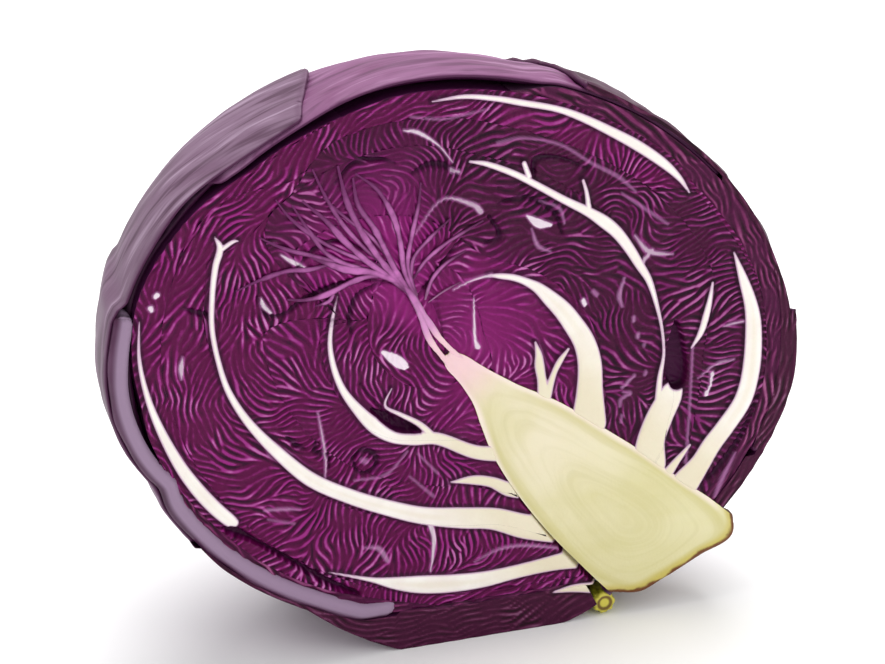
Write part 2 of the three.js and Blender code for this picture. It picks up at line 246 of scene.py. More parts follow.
# The edges of the stem on the cut face: [reach from the heart, degrees round], and its cut
# end: [degrees round, reach].
STEM_LEFT = [[3, -50], [7.8, -25], [15.3, -17], [24.6, -18.6], [32.7, -19.6], [40, -19], [47, -18],
             [57, -16.4], [68, -14.6], [80.6, -12.5], [90, -11]]
STEM_RIGHT = [[3, 34], [9, 20.5], [18.7, 16.4], [27.5, 16.8], [33, 16.8], [46.5, 15.2], [60, 14],
              [74, 12.6], [83, 12.2], [90, 11.6]]
STEM_END = [[-13, 80.2], [-10, 84], [-7, 88], [-3, 89.6], [4, 92.8], [8, 96], [10, 95.4], [12, 91.5]]
STEM_TIP = 0.8
STEM_FOOT = 90
STEM_DEPTH = 0.96
STEM_ROWS = 110
STEM_ACROSS = 84
END_ROWS = 14
END_BULGE = 1.3
RING_BEND = 4.0


def stem_angles(reach):
    return curve(STEM_LEFT, reach), curve(STEM_RIGHT, reach)


def inside_stem(around, reach):
    """How far inside the edge of the stem a point of the cut face is, in millimetres."""
    left, right = stem_angles(reach)
    return np.minimum(around - left, right - around) * np.radians(1) * reach


def squares(number):
    """The faces of a sheet of points that are numbered row by row."""
    corners = [number[:-1, :-1], number[:-1, 1:], number[1:, 1:], number[1:, :-1]]
    return np.stack(corners, -1).reshape(-1, 4)


def stem_mesh():
    """Half a stem: its cut face, its round back, and the bulging old cut at its foot."""
    wide = STEM_ACROSS + 1
    on_sheet = STEM_ROWS * wide
    along = np.linspace(0, 1, STEM_ROWS)[:, None]
    turn = np.linspace(0, np.pi, wide)[None, :]
    side = 0.5 - 0.5 * np.cos(turn)
    left, right = stem_angles(STEM_TIP + (STEM_FOOT - STEM_TIP) * along)
    around = left + (right - left) * side
    reach = STEM_TIP + (curve(STEM_END, around) - STEM_TIP) * along
    half = np.radians(right - left) / 2 * reach
    depth = half * np.sin(turn) * STEM_DEPTH
    face = np.stack([on_cut(around, reach)[..., 0], 0 * reach, on_cut(around, reach)[..., 1]], -1)
    back = face + np.stack([0 * depth, depth, 0 * depth], -1)
    to_end = curve(STEM_END, around) - reach
    rim = np.minimum(inside_stem(around, reach), to_end)
    sides = np.stack([around - left, right - around]) * np.radians(1) * reach
    soft_rim = -RING_BEND * np.log(np.exp(-sides / RING_BEND).sum(0) + np.exp(-to_end / RING_BEND))
    lid = []
    down = way_out(0, 0)
    for k in range(1, END_ROWS):
        part = k / END_ROWS
        rise = END_BULGE * np.sin(np.pi * part) * np.sin(turn[0]) ** 0.5
        lid.append(face[-1] + (back[-1] - face[-1]) * part + rise[:, None] * down)
    points = np.concatenate([face.reshape(-1, 3), back.reshape(-1, 3), np.reshape(lid, (-1, 3))])
    number = np.arange(on_sheet).reshape(STEM_ROWS, wide)
    behind = number + on_sheet
    front_faces = squares(number)[:, [0, 3, 2, 1]]
    back_faces = squares(behind)
    lid_rows = [2 * on_sheet + k * wide + np.arange(wide) for k in range(END_ROWS - 1)]
    sheets = [number[-1], *lid_rows, behind[-1]]
    lid_faces = []
    for low, high in zip(sheets, sheets[1:]):
        lid_faces.append(np.stack([low[:-1], high[:-1], high[1:], low[1:]], -1))
    tip_faces = np.stack([number[0][:-1], number[0][1:], behind[0][1:], behind[0][:-1]], -1)
    faces = np.concatenate([front_faces, back_faces, *lid_faces, tip_faces])
    on_lid = len(points) - 2 * on_sheet

    def on_both(sheet, lid_value):
        return np.concatenate([sheet.ravel(), sheet.ravel(), np.full(on_lid, lid_value)])

    values = {"rim": on_both(rim, 0.0), "soft_rim": on_both(soft_rim, 0.0),
              "to_end": on_both(to_end, 0.0), "reach": on_both(reach, float(STEM_FOOT)),
              "cut": np.concatenate([np.ones(on_sheet), np.zeros(len(points) - on_sheet)])}
    kinds = np.concatenate([np.zeros(len(front_faces)), np.ones(len(faces) - len(front_faces))])
    return new_mesh("stem", points + HEART, [faces], values, kinds)


def wet_flesh_group():
    """Moist cut flesh: fine fibres and cells as a height, and where its film of water is."""
    tree, given, made = effect_group(
        "moist_flesh",
        [("Cell size", "NodeSocketFloat", 900.0), ("Dry roughness", "NodeSocketFloat", 0.5)],
        [("Height", "NodeSocketFloat"), ("Roughness", "NodeSocketFloat")])
    place = node(tree, "ShaderNodeTexCoord").outputs["Object"]
    cells = node(tree, "ShaderNodeTexVoronoi", {"Vector": place, "Scale": given["Cell size"]})
    clumps = noise(tree, 90.0, 4.0)
    height = sums(tree, "ADD", cells.outputs["Distance"], clumps)
    wetness = between(tree, noise(tree, 140.0, 2.0), 0.4, 0.65)
    damp = times(tree, given["Dry roughness"], 0.62)
    rough = sums(tree, "MULTIPLY_ADD", wetness,
                 sums(tree, "SUBTRACT", given["Dry roughness"], damp), damp)
    tree.links.new(height, made["Height"])
    tree.links.new(rough, made["Roughness"])
    return tree


MOIST_FLESH = wet_flesh_group()


def bump(tree, height, strength, distance):
    made = node(tree, "ShaderNodeBump", {"Height": height, "Strength": strength,
                                         "Distance": distance * MM})
    return made.outputs[0]


def stem_cut_material():
    """Cream flesh, yellower towards its lower end, with an olive ring inside a paler skin."""
    material, tree, shader = new_material("stem_cut_flesh")
    rim, reach, to_end = grown(tree, "rim"), grown(tree, "reach"), grown(tree, "to_end")
    fibres = noise(tree, 60.0, 4.0, (1, 1, 5))
    cloud = noise(tree, 34.0, 3.0)
    pale = blend(tree, between(tree, reach, 20, 84), "e8dec4", "dcd6a6")
    flesh = blend(tree, times(tree, between(tree, cloud, 0.35, 0.7), 0.8), pale, "d0c98e")
    flesh = blend(tree, times(tree, fibres, 0.35), flesh, "e8e0c4")
    depth = sums(tree, "SUBTRACT", grown(tree, "soft_rim"), 0.4)
    wobble = sums(tree, "MULTIPLY_ADD", cloud, 4.4, depth)
    layers = node(tree, "ShaderNodeCombineXYZ", {"X": wobble, "Y": times(tree, reach, 0.03)})
    rings = noise(tree, 0.8, 3.0, (1, 1, 1), layers.outputs[0])
    rings = times(tree, between(tree, rings, 0.46, 0.68), between(tree, wobble, 1.0, 2.4))
    flesh = blend(tree, times(tree, rings, 0.16), flesh, "b8b068")
    ring = times(tree, between(tree, wobble, 1.2, 3.0), between(tree, wobble, 5.4, 3.2))
    ring = times(tree, ring, between(tree, reach, 12, 34))
    flesh = blend(tree, times(tree, ring, 0.42), flesh, "bfb668")
    edge = times(tree, between(tree, rim, 1.6, 0.2), between(tree, to_end, 3, 7))
    flesh = blend(tree, times(tree, edge, 0.75), flesh, "f3e4da")
    flesh = blend(tree, between(tree, reach, 20, 5, 0, 0.85), flesh, "ecc4cd")
    side = noise(tree, 190.0, 3.0)
    crust = between(tree, sums(tree, "MULTIPLY_ADD", side, -3.6, to_end), -0.3, -1.3)
    yellow = between(tree, sums(tree, "MULTIPLY_ADD", cloud, -3.0, to_end), 2.2, -0.6)
    flesh = blend(tree, times(tree, yellow, 0.7), flesh, "c2b03c")
    flesh = blend(tree, crust, flesh, "6b3a12")
    wet = use_group(tree, MOIST_FLESH, Cell_size=1300.0, Dry_roughness=0.52)
    wire(tree, shader, Base_Color=flesh, Roughness=wet["Roughness"],
         Normal=bump(tree, wet["Height"], 0.35, 0.12), Specular_IOR_Level=0.3,
         Subsurface_Weight=0.12, Subsurface_Radius=(0.004, 0.003, 0.0015))
    return material


def stem_skin_material():
    """The outside of the stem: yellow-green, with corky brown patches on its cut end."""
    material, tree, shader = new_material("stem_skin")
    to_end = grown(tree, "to_end")
    patches = noise(tree, 150.0, 5.0)
    skin = blend(tree, between(tree, patches, 0.4, 0.62), "a8a044", "d9cf7a")
    brown = between(tree, sums(tree, "MULTIPLY_ADD", patches, -6.0, to_end), 1.5, -2.2)
    skin = blend(tree, brown, skin, "56300f")
    wire(tree, shader, Base_Color=skin, Roughness=0.7,
         Normal=bump(tree, noise(tree, 420.0, 5.0), 0.8, 0.5))
    return material


def two_faced_tree(name, sizes, shape):
    """A tree that shapes a piece, then gives its cut faces one material and its skin another."""
    inputs = [(label, "Float") for label in sizes]
    inputs += [("Cut material", "Material"), ("Skin material", "Material")]
    tree, given, made = geometry_tree(name, inputs)
    real = node(tree, "GeometryNodeRealizeInstances", {"Geometry": shape(tree, given)}).outputs[0]
    kind = node(tree, "GeometryNodeInputNamedAttribute", {"Name": "kind"}, data_type="INT")
    cut = node(tree, "FunctionNodeCompare", {2: kind.outputs[0], 3: 0}, data_type="INT",
               operation="EQUAL").outputs[0]
    first = node(tree, "GeometryNodeSetMaterial", {"Geometry": real,
                                                   "Material": given["Skin material"]}).outputs[0]
    last = node(tree, "GeometryNodeSetMaterial", {"Geometry": first, "Selection": cut,
                                                  "Material": given["Cut material"]}).outputs[0]
    tree.links.new(last, made["Geometry"])
    return tree


def named(tree, name):
    return node(tree, "GeometryNodeInputNamedAttribute", {"Name": name}).outputs[0]


def stem_shape(tree, given):
    """The dried end is rough, and the cut flesh swells a little out of its skin."""
    end = between(tree, named(tree, "to_end"), 5, 0)
    place = node(tree, "GeometryNodeInputPosition").outputs[0]
    lumps = node(tree, "ShaderNodeTexNoise", {"Vector": place, "Scale": 260.0, "Detail": 3.0})
    rough = times(tree, sums(tree, "SUBTRACT", lumps.outputs["Fac"], 0.5), given["Crust"])
    skin = sums(tree, "SUBTRACT", 1.0, named(tree, "cut"))
    push = times(tree, times(tree, rough, end), skin)
    normal = node(tree, "GeometryNodeInputNormal").outputs[0]
    out = node(tree, "ShaderNodeVectorMath", {0: normal, "Scale": push}, operation="SCALE")
    swell = times(tree, between(tree, named(tree, "rim"), 0, 2.5), named(tree, "cut"))
    swell = times(tree, swell, times(tree, given["Swell"], -1.0))
    forward = node(tree, "ShaderNodeCombineXYZ", {"Y": swell}).outputs[0]
    offset = node(tree, "ShaderNodeVectorMath", {0: out.outputs[0], 1: forward}).outputs[0]
    return node(tree, "GeometryNodeSetPosition", {"Geometry": given["Geometry"],
                                                  "Offset": offset}).outputs[0]


stem = new_object("stem", stem_mesh())
apply_tree(stem, two_faced_tree("stem_shape", ["Crust", "Swell"], stem_shape),
           Crust=2.2 * MM, Swell=0.35 * MM, Cut_material=stem_cut_material(),
           Skin_material=stem_skin_material())
finish_piece(stem, "stem", "stem_core")


# ---------------------------------------------------------------- the stalk stub
# The root of a lower leaf that was snapped off beside the stem. A short fat stalk that lies
# across the cut, yellow-green and knobbly, with a ring of torn fibres round its broken end.

STUB_STEPS = 56
STUB_RINGS = 26
STUB_OUTLINE = [[0, 0.0], [0.05, 0.72], [0.12, 0.93], [0.3, 1.0], [0.75, 0.94], [0.93, 0.66], [1, 0.0]]
STUB_CUP = 0.9
STUB_WIDEST = 1.08


def stub_mesh():
    """A knobbly barrel along the depth of the half, with a cupped front end."""
    low, high = (np.array(c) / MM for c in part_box("stalk_stub"))
    middle = (low + high) / 2
    radius = (high[0] - low[0]) / 2
    length = high[1] - low[1]
    turn = np.linspace(0, 2 * np.pi, STUB_STEPS, endpoint=False)[None, :]
    along = np.concatenate([[0.004], np.linspace(0.02, 0.98, STUB_RINGS - 2), [0.996]])[:, None]
    knobs = 1 + 0.07 * np.sin(7 * turn + 9 * along) + 0.04 * np.sin(11 * turn - 23 * along)
    outline = curve(STUB_OUTLINE, along)
    wide = radius * outline * np.minimum(knobs, STUB_WIDEST)
    cup = STUB_CUP * smooth(0.75, 0.2, outline) * smooth(0.3, 0.0, along)
    points = np.stack([middle[0] + wide * np.cos(turn), low[1] + length * along + cup + 0 * turn,
                       middle[2] + wide * np.sin(turn)], -1).reshape(-1, 3)
    ends = [[middle[0], low[1] + STUB_CUP, middle[2]], [middle[0], high[1], middle[2]]]
    number = np.arange(STUB_RINGS * STUB_STEPS).reshape(STUB_RINGS, STUB_STEPS)
    following = np.roll(number, -1, 1)
    sides = np.stack([number[:-1], following[:-1], following[1:], number[1:]], -1).reshape(-1, 4)
    first, last = len(points), len(points) + 1
    near = np.stack([following[0], number[0], np.full(STUB_STEPS, first)], -1)
    far = np.stack([number[-1], following[-1], np.full(STUB_STEPS, last)], -1)
    end = np.concatenate([np.repeat(along[:, 0], STUB_STEPS), [0, 1]])
    middle_share = np.concatenate([(wide / radius).ravel(), [0, 0]])
    faces = [sides[:, ::-1], near[:, ::-1], far[:, ::-1]]
    values = {"end": end, "middle": middle_share}
    return new_mesh("stalk_stub", np.concatenate([points, ends]), faces, values)


def stub_material():
    """Yellow-green and spotted brown, with a brown ring of fibres in its broken end."""
    material, tree, shader = new_material("stalk_stub_skin")
    end, middle = grown(tree, "end"), grown(tree, "middle")
    lumps = noise(tree, 380.0, 4.0)
    skin = blend(tree, between(tree, lumps, 0.4, 0.65), "a3a022", "e4de58")
    broken = between(tree, end, 0.16, 0.04)
    ring = times(tree, between(tree, middle, 0.30, 0.5), between(tree, middle, 0.78, 0.6))
    flesh = blend(tree, ring, "cfc44a", "6f5418")
    skin = blend(tree, broken, skin, flesh)
    brown = between(tree, noise(tree, 210.0, 3.0), 0.58, 0.7)
    skin = blend(tree, times(tree, brown, 0.8), skin, "6a4212")
    wire(tree, shader, Base_Color=skin, Roughness=0.55, Normal=bump(tree, lumps, 0.7, 0.4))
    return material


stub = new_object("stalk_stub_skin", stub_mesh())
stub.data.materials.append(stub_material())
finish_piece(stub, "stalk", "stalk_stub")


# ---------------------------------------------------------------- midribs and veins on the cut
# A leaf's midrib is its thick juicy stalk. Where the cut runs along one it shows as a white
# band that widens into the stem, and smaller veins show as short bright strokes. Each is a
# line of [degrees round from the stem, reach from the heart, width].

MIDRIBS = [
    [[-11, 34, 5], [-26, 28.5, 3.8], [-47, 22.4, 3.4], [-63, 22.7, 3.9], [-76, 23.5, 4.4],
     [-89, 24.2, 3.9], [-106, 24.9, 2.7], [-119, 26.2, 2], [-132, 27.6, 1.7], [-144, 29.1, 1.4],
     [-155, 30.3, 1.1], [-166, 32, 0.5]],
    [[-50, 22, 2.2], [-62, 19, 1.7], [-80, 18.4, 1.3], [-93, 19.2, 0.9], [-97, 18.4, 0.8],
     [-103, 15.4, 0.5]],
    [[-12, 46, 5.2], [-19, 42, 4], [-24, 37.8, 3], [-31, 35.2, 2.6], [-40, 34.3, 0.6]],
    [[-9, 62, 9], [-19, 53.7, 6.8], [-27, 47.5, 6], [-37, 44.4, 5.8], [-50, 42.4, 4.8],
     [-63, 41.2, 4.3], [-77, 41.6, 4], [-92, 43.7, 3.8], [-106, 45.9, 3.2], [-119, 49.6, 2.3],
     [-129, 53, 1.8], [-137, 55.4, 1.5], [-146, 58.4, 1.5], [-154, 60.8, 1.6], [-160, 62.8, 1.8],
     [-164, 64, 1.8], [-165.5, 66.6, 0.5]],
    [[-163.5, 63.6, 1.4], [-166.4, 62, 1.2], [-167, 61, 0.5]],
    [[-9, 71.5, 7], [-17, 66.6, 4.6], [-25, 63.9, 4], [-33, 62.6, 4.6], [-41, 61.5, 5.1],
     [-48, 60.8, 5], [-54, 60.4, 3.6], [-60, 60.1, 1.6], [-71, 60.9, 0.5]],
    [[-12, 80, 3.4], [-16, 76, 2.4], [-20, 73.8, 0.7]],
    [[-97.5, 64, 2.8], [-98.5, 64.3, 3.4], [-103, 65.3, 3.6], [-109, 66.6, 3.5], [-116, 68.2, 3],
     [-125, 70.5, 2.2], [-132, 72.6, 1.6], [-139, 74.6, 1.1], [-146, 76, 0.5]],
    [[108, 20.9, 0.7], [101, 22, 1.6], [93, 23.6, 1.9], [86, 24.9, 2.1], [78, 26.4, 2.9],
     [69, 27.9, 4], [61, 29.8, 4.7], [54, 31.6, 5.1], [44, 34.8, 5.6], [35, 37.2, 6.3],
     [24, 39.8, 7.2], [14, 43.6, 9.5]],
    [[46, 22.4, 0.7], [38, 23.6, 2], [32, 24.4, 2.7], [24, 26.4, 2.6], [17, 28.8, 3.6]],
    [[41, 31, 0.9], [35, 29.4, 1.8], [28, 28.8, 1.8], [16, 29.8, 2.8]],
    [[12, 64.5, 9], [17, 61.2, 7.8], [23, 60.2, 7.5], [28, 60.6, 6.8], [29.6, 60.7, 6]],
    [[26, 58.4, 2.2], [33, 56.4, 1.6], [39, 56, 1], [45, 54.9, 1], [51, 53.7, 1.2], [60, 52.3, 1.9],
     [66, 50.9, 2.5], [72, 50, 2.8], [78, 49.2, 3.1], [83, 48.2, 3.3], [89, 46.9, 2.6], [98, 45.3, 2.1],
     [109, 45.2, 1.9], [117, 46, 1.8], [126, 47.2, 1.5], [131, 47.6, 0.8]],
    [[97, 51.6, 0.9], [94, 50, 1.2], [90, 47.6, 1.6]],
    [[115, 49, 1.4], [112, 46.4, 1.6]],
    [[55, 68, 0.8], [52, 67.2, 1.4], [48, 66.1, 2], [44, 64.9, 1.8], [40.6, 63, 0.7]],
    [[12.5, 76, 8], [17, 76.6, 6], [21, 76.9, 5.6], [25, 78.2, 5.4], [30, 80, 5.2], [34, 80.2, 5],
     [39, 79.6, 4.9], [45, 78.6, 4.4], [49, 77.6, 3.6], [54, 75.9, 2.6], [60, 74.4, 0.6]],
    [[19.5, 71.4, 0.9], [15, 70.4, 2.4], [11, 70.2, 3.6]],
    [[76, 68.9, 0.6], [80, 68.6, 1.6], [85, 67.6, 2.5], [92, 66, 2.8], [99, 64.7, 2.5], [107, 64, 2.1],
     [113, 63.6, 1.8], [121, 62.9, 1.8], [127, 63.1, 1.6], [134, 63.5, 1.3], [141, 63.2, 0.6]],
]

# Smaller veins, whitest where they are given a strength of one.
VEINS = [
    (1.0, [[-140, 15.8, 1.2], [-132, 12.8, 3.4], [-122, 10.8, 3.2], [-117, 10, 1.4]]),
    (0.9, [[106, 37.6, 0.8], [100, 37.4, 3], [96, 38.6, 1.6]]),
    (0.7, [[74, 52.6, 0.8], [68, 54.2, 1.8], [64.5, 59.6, 0.8]]),
    (0.7, [[66, 52, 1.6], [68, 55, 1.4]]),
    (0.8, [[-169, 49.8, 0.7], [-169, 46.4, 1.7], [-169.5, 42.8, 0.8]]),
    (0.9, [[-156, 49, 0.6], [-154, 47.6, 1.6], [-152.5, 45.3, 1]]),
    (0.95, [[-151.2, 73.4, 1.9], [-151, 73.6, 1.9]]),
    (0.9, [[-148.6, 74, 1.9], [-148.2, 73.6, 1.5]]),
    (0.75, [[-139, 64.2, 0.6], [-136.6, 64.4, 1.7], [-134, 64.2, 0.6]]),
    (0.7, [[136, 45.4, 1.7], [134, 45, 1.5]]),
    (0.8, [[148, 57.6, 0.8], [145, 56.4, 1.5], [140, 52.2, 0.8], [136, 47.6, 0.6]]),
    (0.6, [[-94.5, 56.6, 0.9], [-91, 53.2, 1.2], [-87.5, 50.8, 0.7]]),
    (0.45, [[-92, 57.6, 0.6], [-86, 54.4, 0.9]]),
    (0.6, [[-65, 52.6, 0.6], [-61, 52, 1.7], [-57.5, 54.8, 1.5]]),
    (0.8, [[-48, 43.4, 1.8], [-45.6, 48, 1.6], [-45.4, 52, 1.2], [-45.8, 57.6, 0.7]]),
    (0.55, [[-63, 26.4, 0.6], [-68.6, 33.4, 0.9], [-79, 37.8, 0.6]]),
    (0.5, [[-57, 26.6, 0.6], [-45.6, 31.6, 0.8]]),
    (0.45, [[-58, 32.6, 0.6], [-46.6, 37.6, 1.1]]),
    (0.55, [[-81.4, 32.6, 1.8], [-79.6, 32.4, 1.8]]),
    (0.6, [[-34.5, 57.4, 0.5], [-28, 56.2, 1.1], [-22, 58, 1.2], [-15, 63.6, 1]]),
    (0.7, [[-113, 33.4, 0.6], [-103, 35, 1], [-93.6, 38, 1.1], [-89, 41, 0.6]]),
    (0.9, [[61.4, 35.4, 1.7], [59.6, 35.6, 1.7]]),
    (0.9, [[35, 70, 1.5], [32.4, 70.4, 1], [30.4, 70, 1.6]]),
    (0.7, [[45.6, 75.8, 1.2], [45, 71, 0.8]]),
    (0.65, [[38, 75, 0.8], [37, 70.6, 1], [33.6, 66.8, 0.6]]),
    (0.55, [[41, 63.4, 0.8], [33, 65, 0.8], [24, 68.4, 0.8], [16, 73, 1]]),
    (0.7, [[152, 31.6, 0.6], [139, 38.6, 0.9], [127, 36.8, 1.8], [124, 35.4, 2]]),
    (0.6, [[101, 35.4, 0.5], [94, 33, 1.3], [88, 34, 0.6]]),
    (0.55, [[104, 42, 0.5], [97, 43, 1], [92, 41, 0.6]]),
    (0.85, [[109, 14.4, 0.6], [94, 10.2, 0.9], [62, 7.6, 1.3], [48, 8, 1.8]]),
    (0.8, [[131, 15.6, 0.6], [117, 18.6, 1], [106, 21.2, 1.4]]),
    (0.5, [[124, 52.4, 0.8], [118, 54.6, 0.8], [108, 56, 0.8], [98, 56, 0.9], [90, 57.6, 1.2],
           [84, 58.4, 0.6]]),
    (0.5, [[86, 55.6, 0.6], [80, 57.4, 1.1], [72, 61, 0.7]]),
    (0.55, [[128, 60.4, 0.5], [138, 58.4, 0.9], [146, 60.4, 0.6]]),
    (0.55, [[12.8, 85.6, 1], [16, 84.6, 1.6], [21, 84.2, 0.6]]),
    (0.6, [[50.4, 47.5, 1.2], [49.2, 47.5, 1.2]]),
    (0.6, [[45, 48.7, 1.3], [44, 48.8, 1.3]]),
    (0.5, [[41.8, 50.7, 1], [41.2, 50.7, 1]]),
    (0.55, [[33.8, 52.5, 1.1], [33, 52.5, 1.1]]),
    (0.6, [[32.4, 49.8, 1], [28.3, 47.8, 1.2]]),
    (0.55, [[27, 48.4, 0.8], [27.2, 50.4, 1.1], [24.8, 48.6, 1.1], [22.6, 49.2, 0.8]]),
    (0.5, [[20.4, 50.8, 0.9], [18.6, 51.4, 0.9]]),
    (0.55, [[63.4, 38.4, 1.4], [61.6, 39, 1.4]]),
    (0.6, [[63.5, 46.6, 0.8], [58.4, 44.4, 1.5], [54.6, 44.8, 0.8]]),
]

VEIN_SHARE = 0.8
RIB_SKIN = 0.16

# Places where the leaves don't meet, so that the cut opens into a hollow, sunk into the face and
# darkened with painted shade.
HOLLOWS = [
    [[-97, 22, 0.7], [-88, 21.4, 2.2], [-76, 21, 3.1], [-66, 20.6, 2.2], [-60, 20.8, 0.6]],
    [[32.4, 61.4, 4.2], [34, 60.8, 5.2], [37, 59.9, 5.2], [42, 59, 3.6], [47, 58.6, 0.8]],
    [[-62, 64.6, 0.8], [-70, 63.4, 1.6], [-78, 62.4, 1.2], [-90, 63.4, 0.9], [-96, 65.4, 2.2],
     [-97.6, 66.4, 0.6]],
]

# Deep creases, where a blade is folded back on itself: sunk into the face and darkened with painted
# shade.
CREASES = [
    [[171, 22.9, 0.5], [-177, 29.8, 1], [-166, 35.6, 1.6], [-158, 39.7, 1.3], [-153, 42.1, 1.1],
     [-151.5, 46.3, 1.1], [-156, 50, 0.6]],
    [[168, 53, 0.6], [162, 55, 1.3], [157, 53.8, 1.5], [152, 50.6, 0.6]],
    [[148, 46.6, 0.6], [143, 47.8, 1.6], [138, 46.8, 1.7], [134.6, 44.6, 0.6]],
    [[120, 41.8, 0.5], [110, 45.6, 0.4], [112, 50.4, 1.6], [106, 53.2, 1.1], [98, 54.4, 0.6]],
    [[-149.6, 66, 0.6], [-149, 62.6, 1.7], [-149.4, 58.6, 0.6]],
    [[-110, 42.4, 0.5], [-105, 41.4, 1.6], [-102, 40.2, 0.5]],
    [[-102, 36.8, 0.7], [-99, 38.6, 1.4], [-94, 37, 0.9], [-90, 39, 0.6]],
    [[-86, 33.6, 0.7], [-84, 30.4, 1.6], [-77, 30.2, 1.6], [-74.6, 33, 1.2], [-79, 35.6, 1],
     [-86, 33.6, 0.7]],
    [[118, 38, 0.5], [110, 41.4, 1.1], [98, 41.6, 1.2], [90, 39, 0.6]],
    [[118, 27.6, 0.5], [112, 30.6, 1.3], [120, 34.6, 0.7]],
    [[164, 16.6, 0.5], [151, 18.4, 1], [138, 23.4, 0.9], [130, 28.4, 0.5]],
    [[-151, 24.4, 0.6], [-160, 26.6, 1.4], [-171, 27.6, 1.2], [178, 25.6, 0.6]],
    [[-166, 44.4, 0.4], [-175, 44, 1.2], [177, 40.6, 1.1], [173, 35, 0.6]],
    [[14, 80.6, 0.6], [17.4, 82, 1.8], [24, 83.4, 1.2], [32, 84, 0.6]],
    [[-76, 21.3, 0.5], [-118, 21.8, 0.4]],
]


STROKE_STEP = 0.7
FAR_OUTSIDE = 3.0


def stroke(points):
    """A smooth line through points on the cut, as x, z and half width at even steps."""
    points = np.array(points, float)
    place = on_cut(points[:, 0], points[:, 1])
    length = np.concatenate([[0], np.cumsum(np.linalg.norm(np.diff(place, axis=0), axis=1))])
    at = np.linspace(0, length[-1], max(int(length[-1] / STROKE_STEP), 1) + 1)
    return np.stack([curve(np.stack([length, values], -1), at)
                     for values in (place[:, 0], place[:, 1], points[:, 2] / 2)], -1)


def inside_stroke(line, x, z):
    """How far inside the edge of a stroke each point is, and no less than -FAR_OUTSIDE."""
    depth = np.full(x.shape, -FAR_OUTSIDE)
    spread = FAR_OUTSIDE + line[:, 2].max()
    near = (x > line[:, 0].min() - spread) & (x < line[:, 0].max() + spread)
    near &= (z > line[:, 1].min() - spread) & (z < line[:, 1].max() + spread)
    px, pz, best = x[near], z[near], depth[near]
    for a, b in zip(line[:-1], line[1:]):
        run = b[:2] - a[:2]
        t = np.clip(((px - a[0]) * run[0] + (pz - a[1]) * run[1]) / (run @ run + 1e-9), 0, 1)
        away = np.hypot(px - a[0] - t * run[0], pz - a[1] - t * run[1])
        best = np.maximum(best, a[2] + (b[2] - a[2]) * t - away)
    depth[near] = best
    return depth


def inside_any(strokes, x, z):
    """How far inside the nearest of some strokes each point is."""
    deepest = np.full(x.shape, -FAR_OUTSIDE)
    for points in strokes:
        deepest = np.maximum(deepest, inside_stroke(stroke(points), x, z))
    return deepest


FAN_WAY_DEG = 168
TIP_WAY_DEG = 60


def heart_glow(around, reach):
    """How pink the blades are: most round the strands of the heart and beside the stem's tip."""
    off = np.abs((around - FAN_WAY_DEG + 180) % 360 - 180)
    fan = smooth(34, 8, off) * smooth(64, 34, reach)
    tip = smooth(34, 8, reach) * smooth(150, 30, np.abs(around - TIP_WAY_DEG))
    return np.maximum(fan, 0.9 * tip)


def vein_strength(x, z):
    """How white the smaller veins are at each point of the cut."""
    strength = np.zeros(x.shape)
    for white, points in VEINS:
        line = stroke(points) * [1, 1, VEIN_SHARE]
        strength = np.maximum(strength, white * smooth(-0.3, 0.3, inside_stroke(line, x, z)))
    return strength


# ---------------------------------------------------------------- the folds of the leaves
# Inside the head the leaf blades are crumpled and packed tight, so the cut shows hundreds of
# fine folds. They run across or along each leaf as it was squeezed, and wander as they go.

FOLD_SEED = 7
FOLD_LEANS = 12
FOLD_AREA = (192.0, 168.0)
FOLD_GRID = (456, 400)
FOLD_SPACINGS = (1.4, 2.1)
FOLD_ROUNDS = 4
FOLD_PUSH = 1.5
FOLD_HEIGHT = 1.2
FOLD_SHARE = (0.8, 0.36, 0.35)
SWIRL_DEG = 12
EVENED_OVER = 1.6

waves_across = np.fft.fftfreq(FOLD_GRID[0], FOLD_AREA[0] / FOLD_GRID[0])[:, None]
waves_up = np.fft.rfftfreq(FOLD_GRID[1], FOLD_AREA[1] / FOLD_GRID[1])[None, :]


def kept(sheet, keep):
    """What is left of a sheet when each wave in it is kept by the share given."""
    return np.fft.irfft2(np.fft.rfft2(sheet) * keep, FOLD_GRID)


def broad(size):
    """Keeps what is broader than about a size in millimetres."""
    return np.exp(-(waves_across ** 2 + waves_up ** 2) * (size * 1.6) ** 2)


def clouds(size, random):
    """A smooth random sheet with patches about that many millimetres across."""
    sheet = kept(random.standard_normal(FOLD_GRID), broad(size))
    return sheet / sheet.std()


def evened(sheet):
    """A sheet of folds made about equally high everywhere."""
    return sheet / np.sqrt(np.maximum(kept(sheet ** 2, broad(EVENED_OVER)), 1e-9))


def one_way(spacing):
    """For each lean, the waves that run that way and have about that spacing."""
    pitch = 1 / spacing
    shares = []
    for k in range(FOLD_LEANS):
        lean = np.pi * k / FOLD_LEANS
        along = waves_across * np.cos(lean) + waves_up * np.sin(lean)
        crossways = np.abs(waves_up * np.cos(lean) - waves_across * np.sin(lean))
        shares.append(np.exp(-((crossways - pitch) / (0.3 * pitch)) ** 2 / 2
                             - (along / (0.22 * pitch)) ** 2 / 2))
    return shares


fold_waves = [one_way(spacing) for spacing in FOLD_SPACINGS]
fold_random = np.random.default_rng(FOLD_SEED)
wander_sheet = clouds(9, fold_random)
swirl_sheet = clouds(3.5, fold_random)
strength_sheet = clouds(5, fold_random)
coarse_sheet = clouds(11, fold_random)


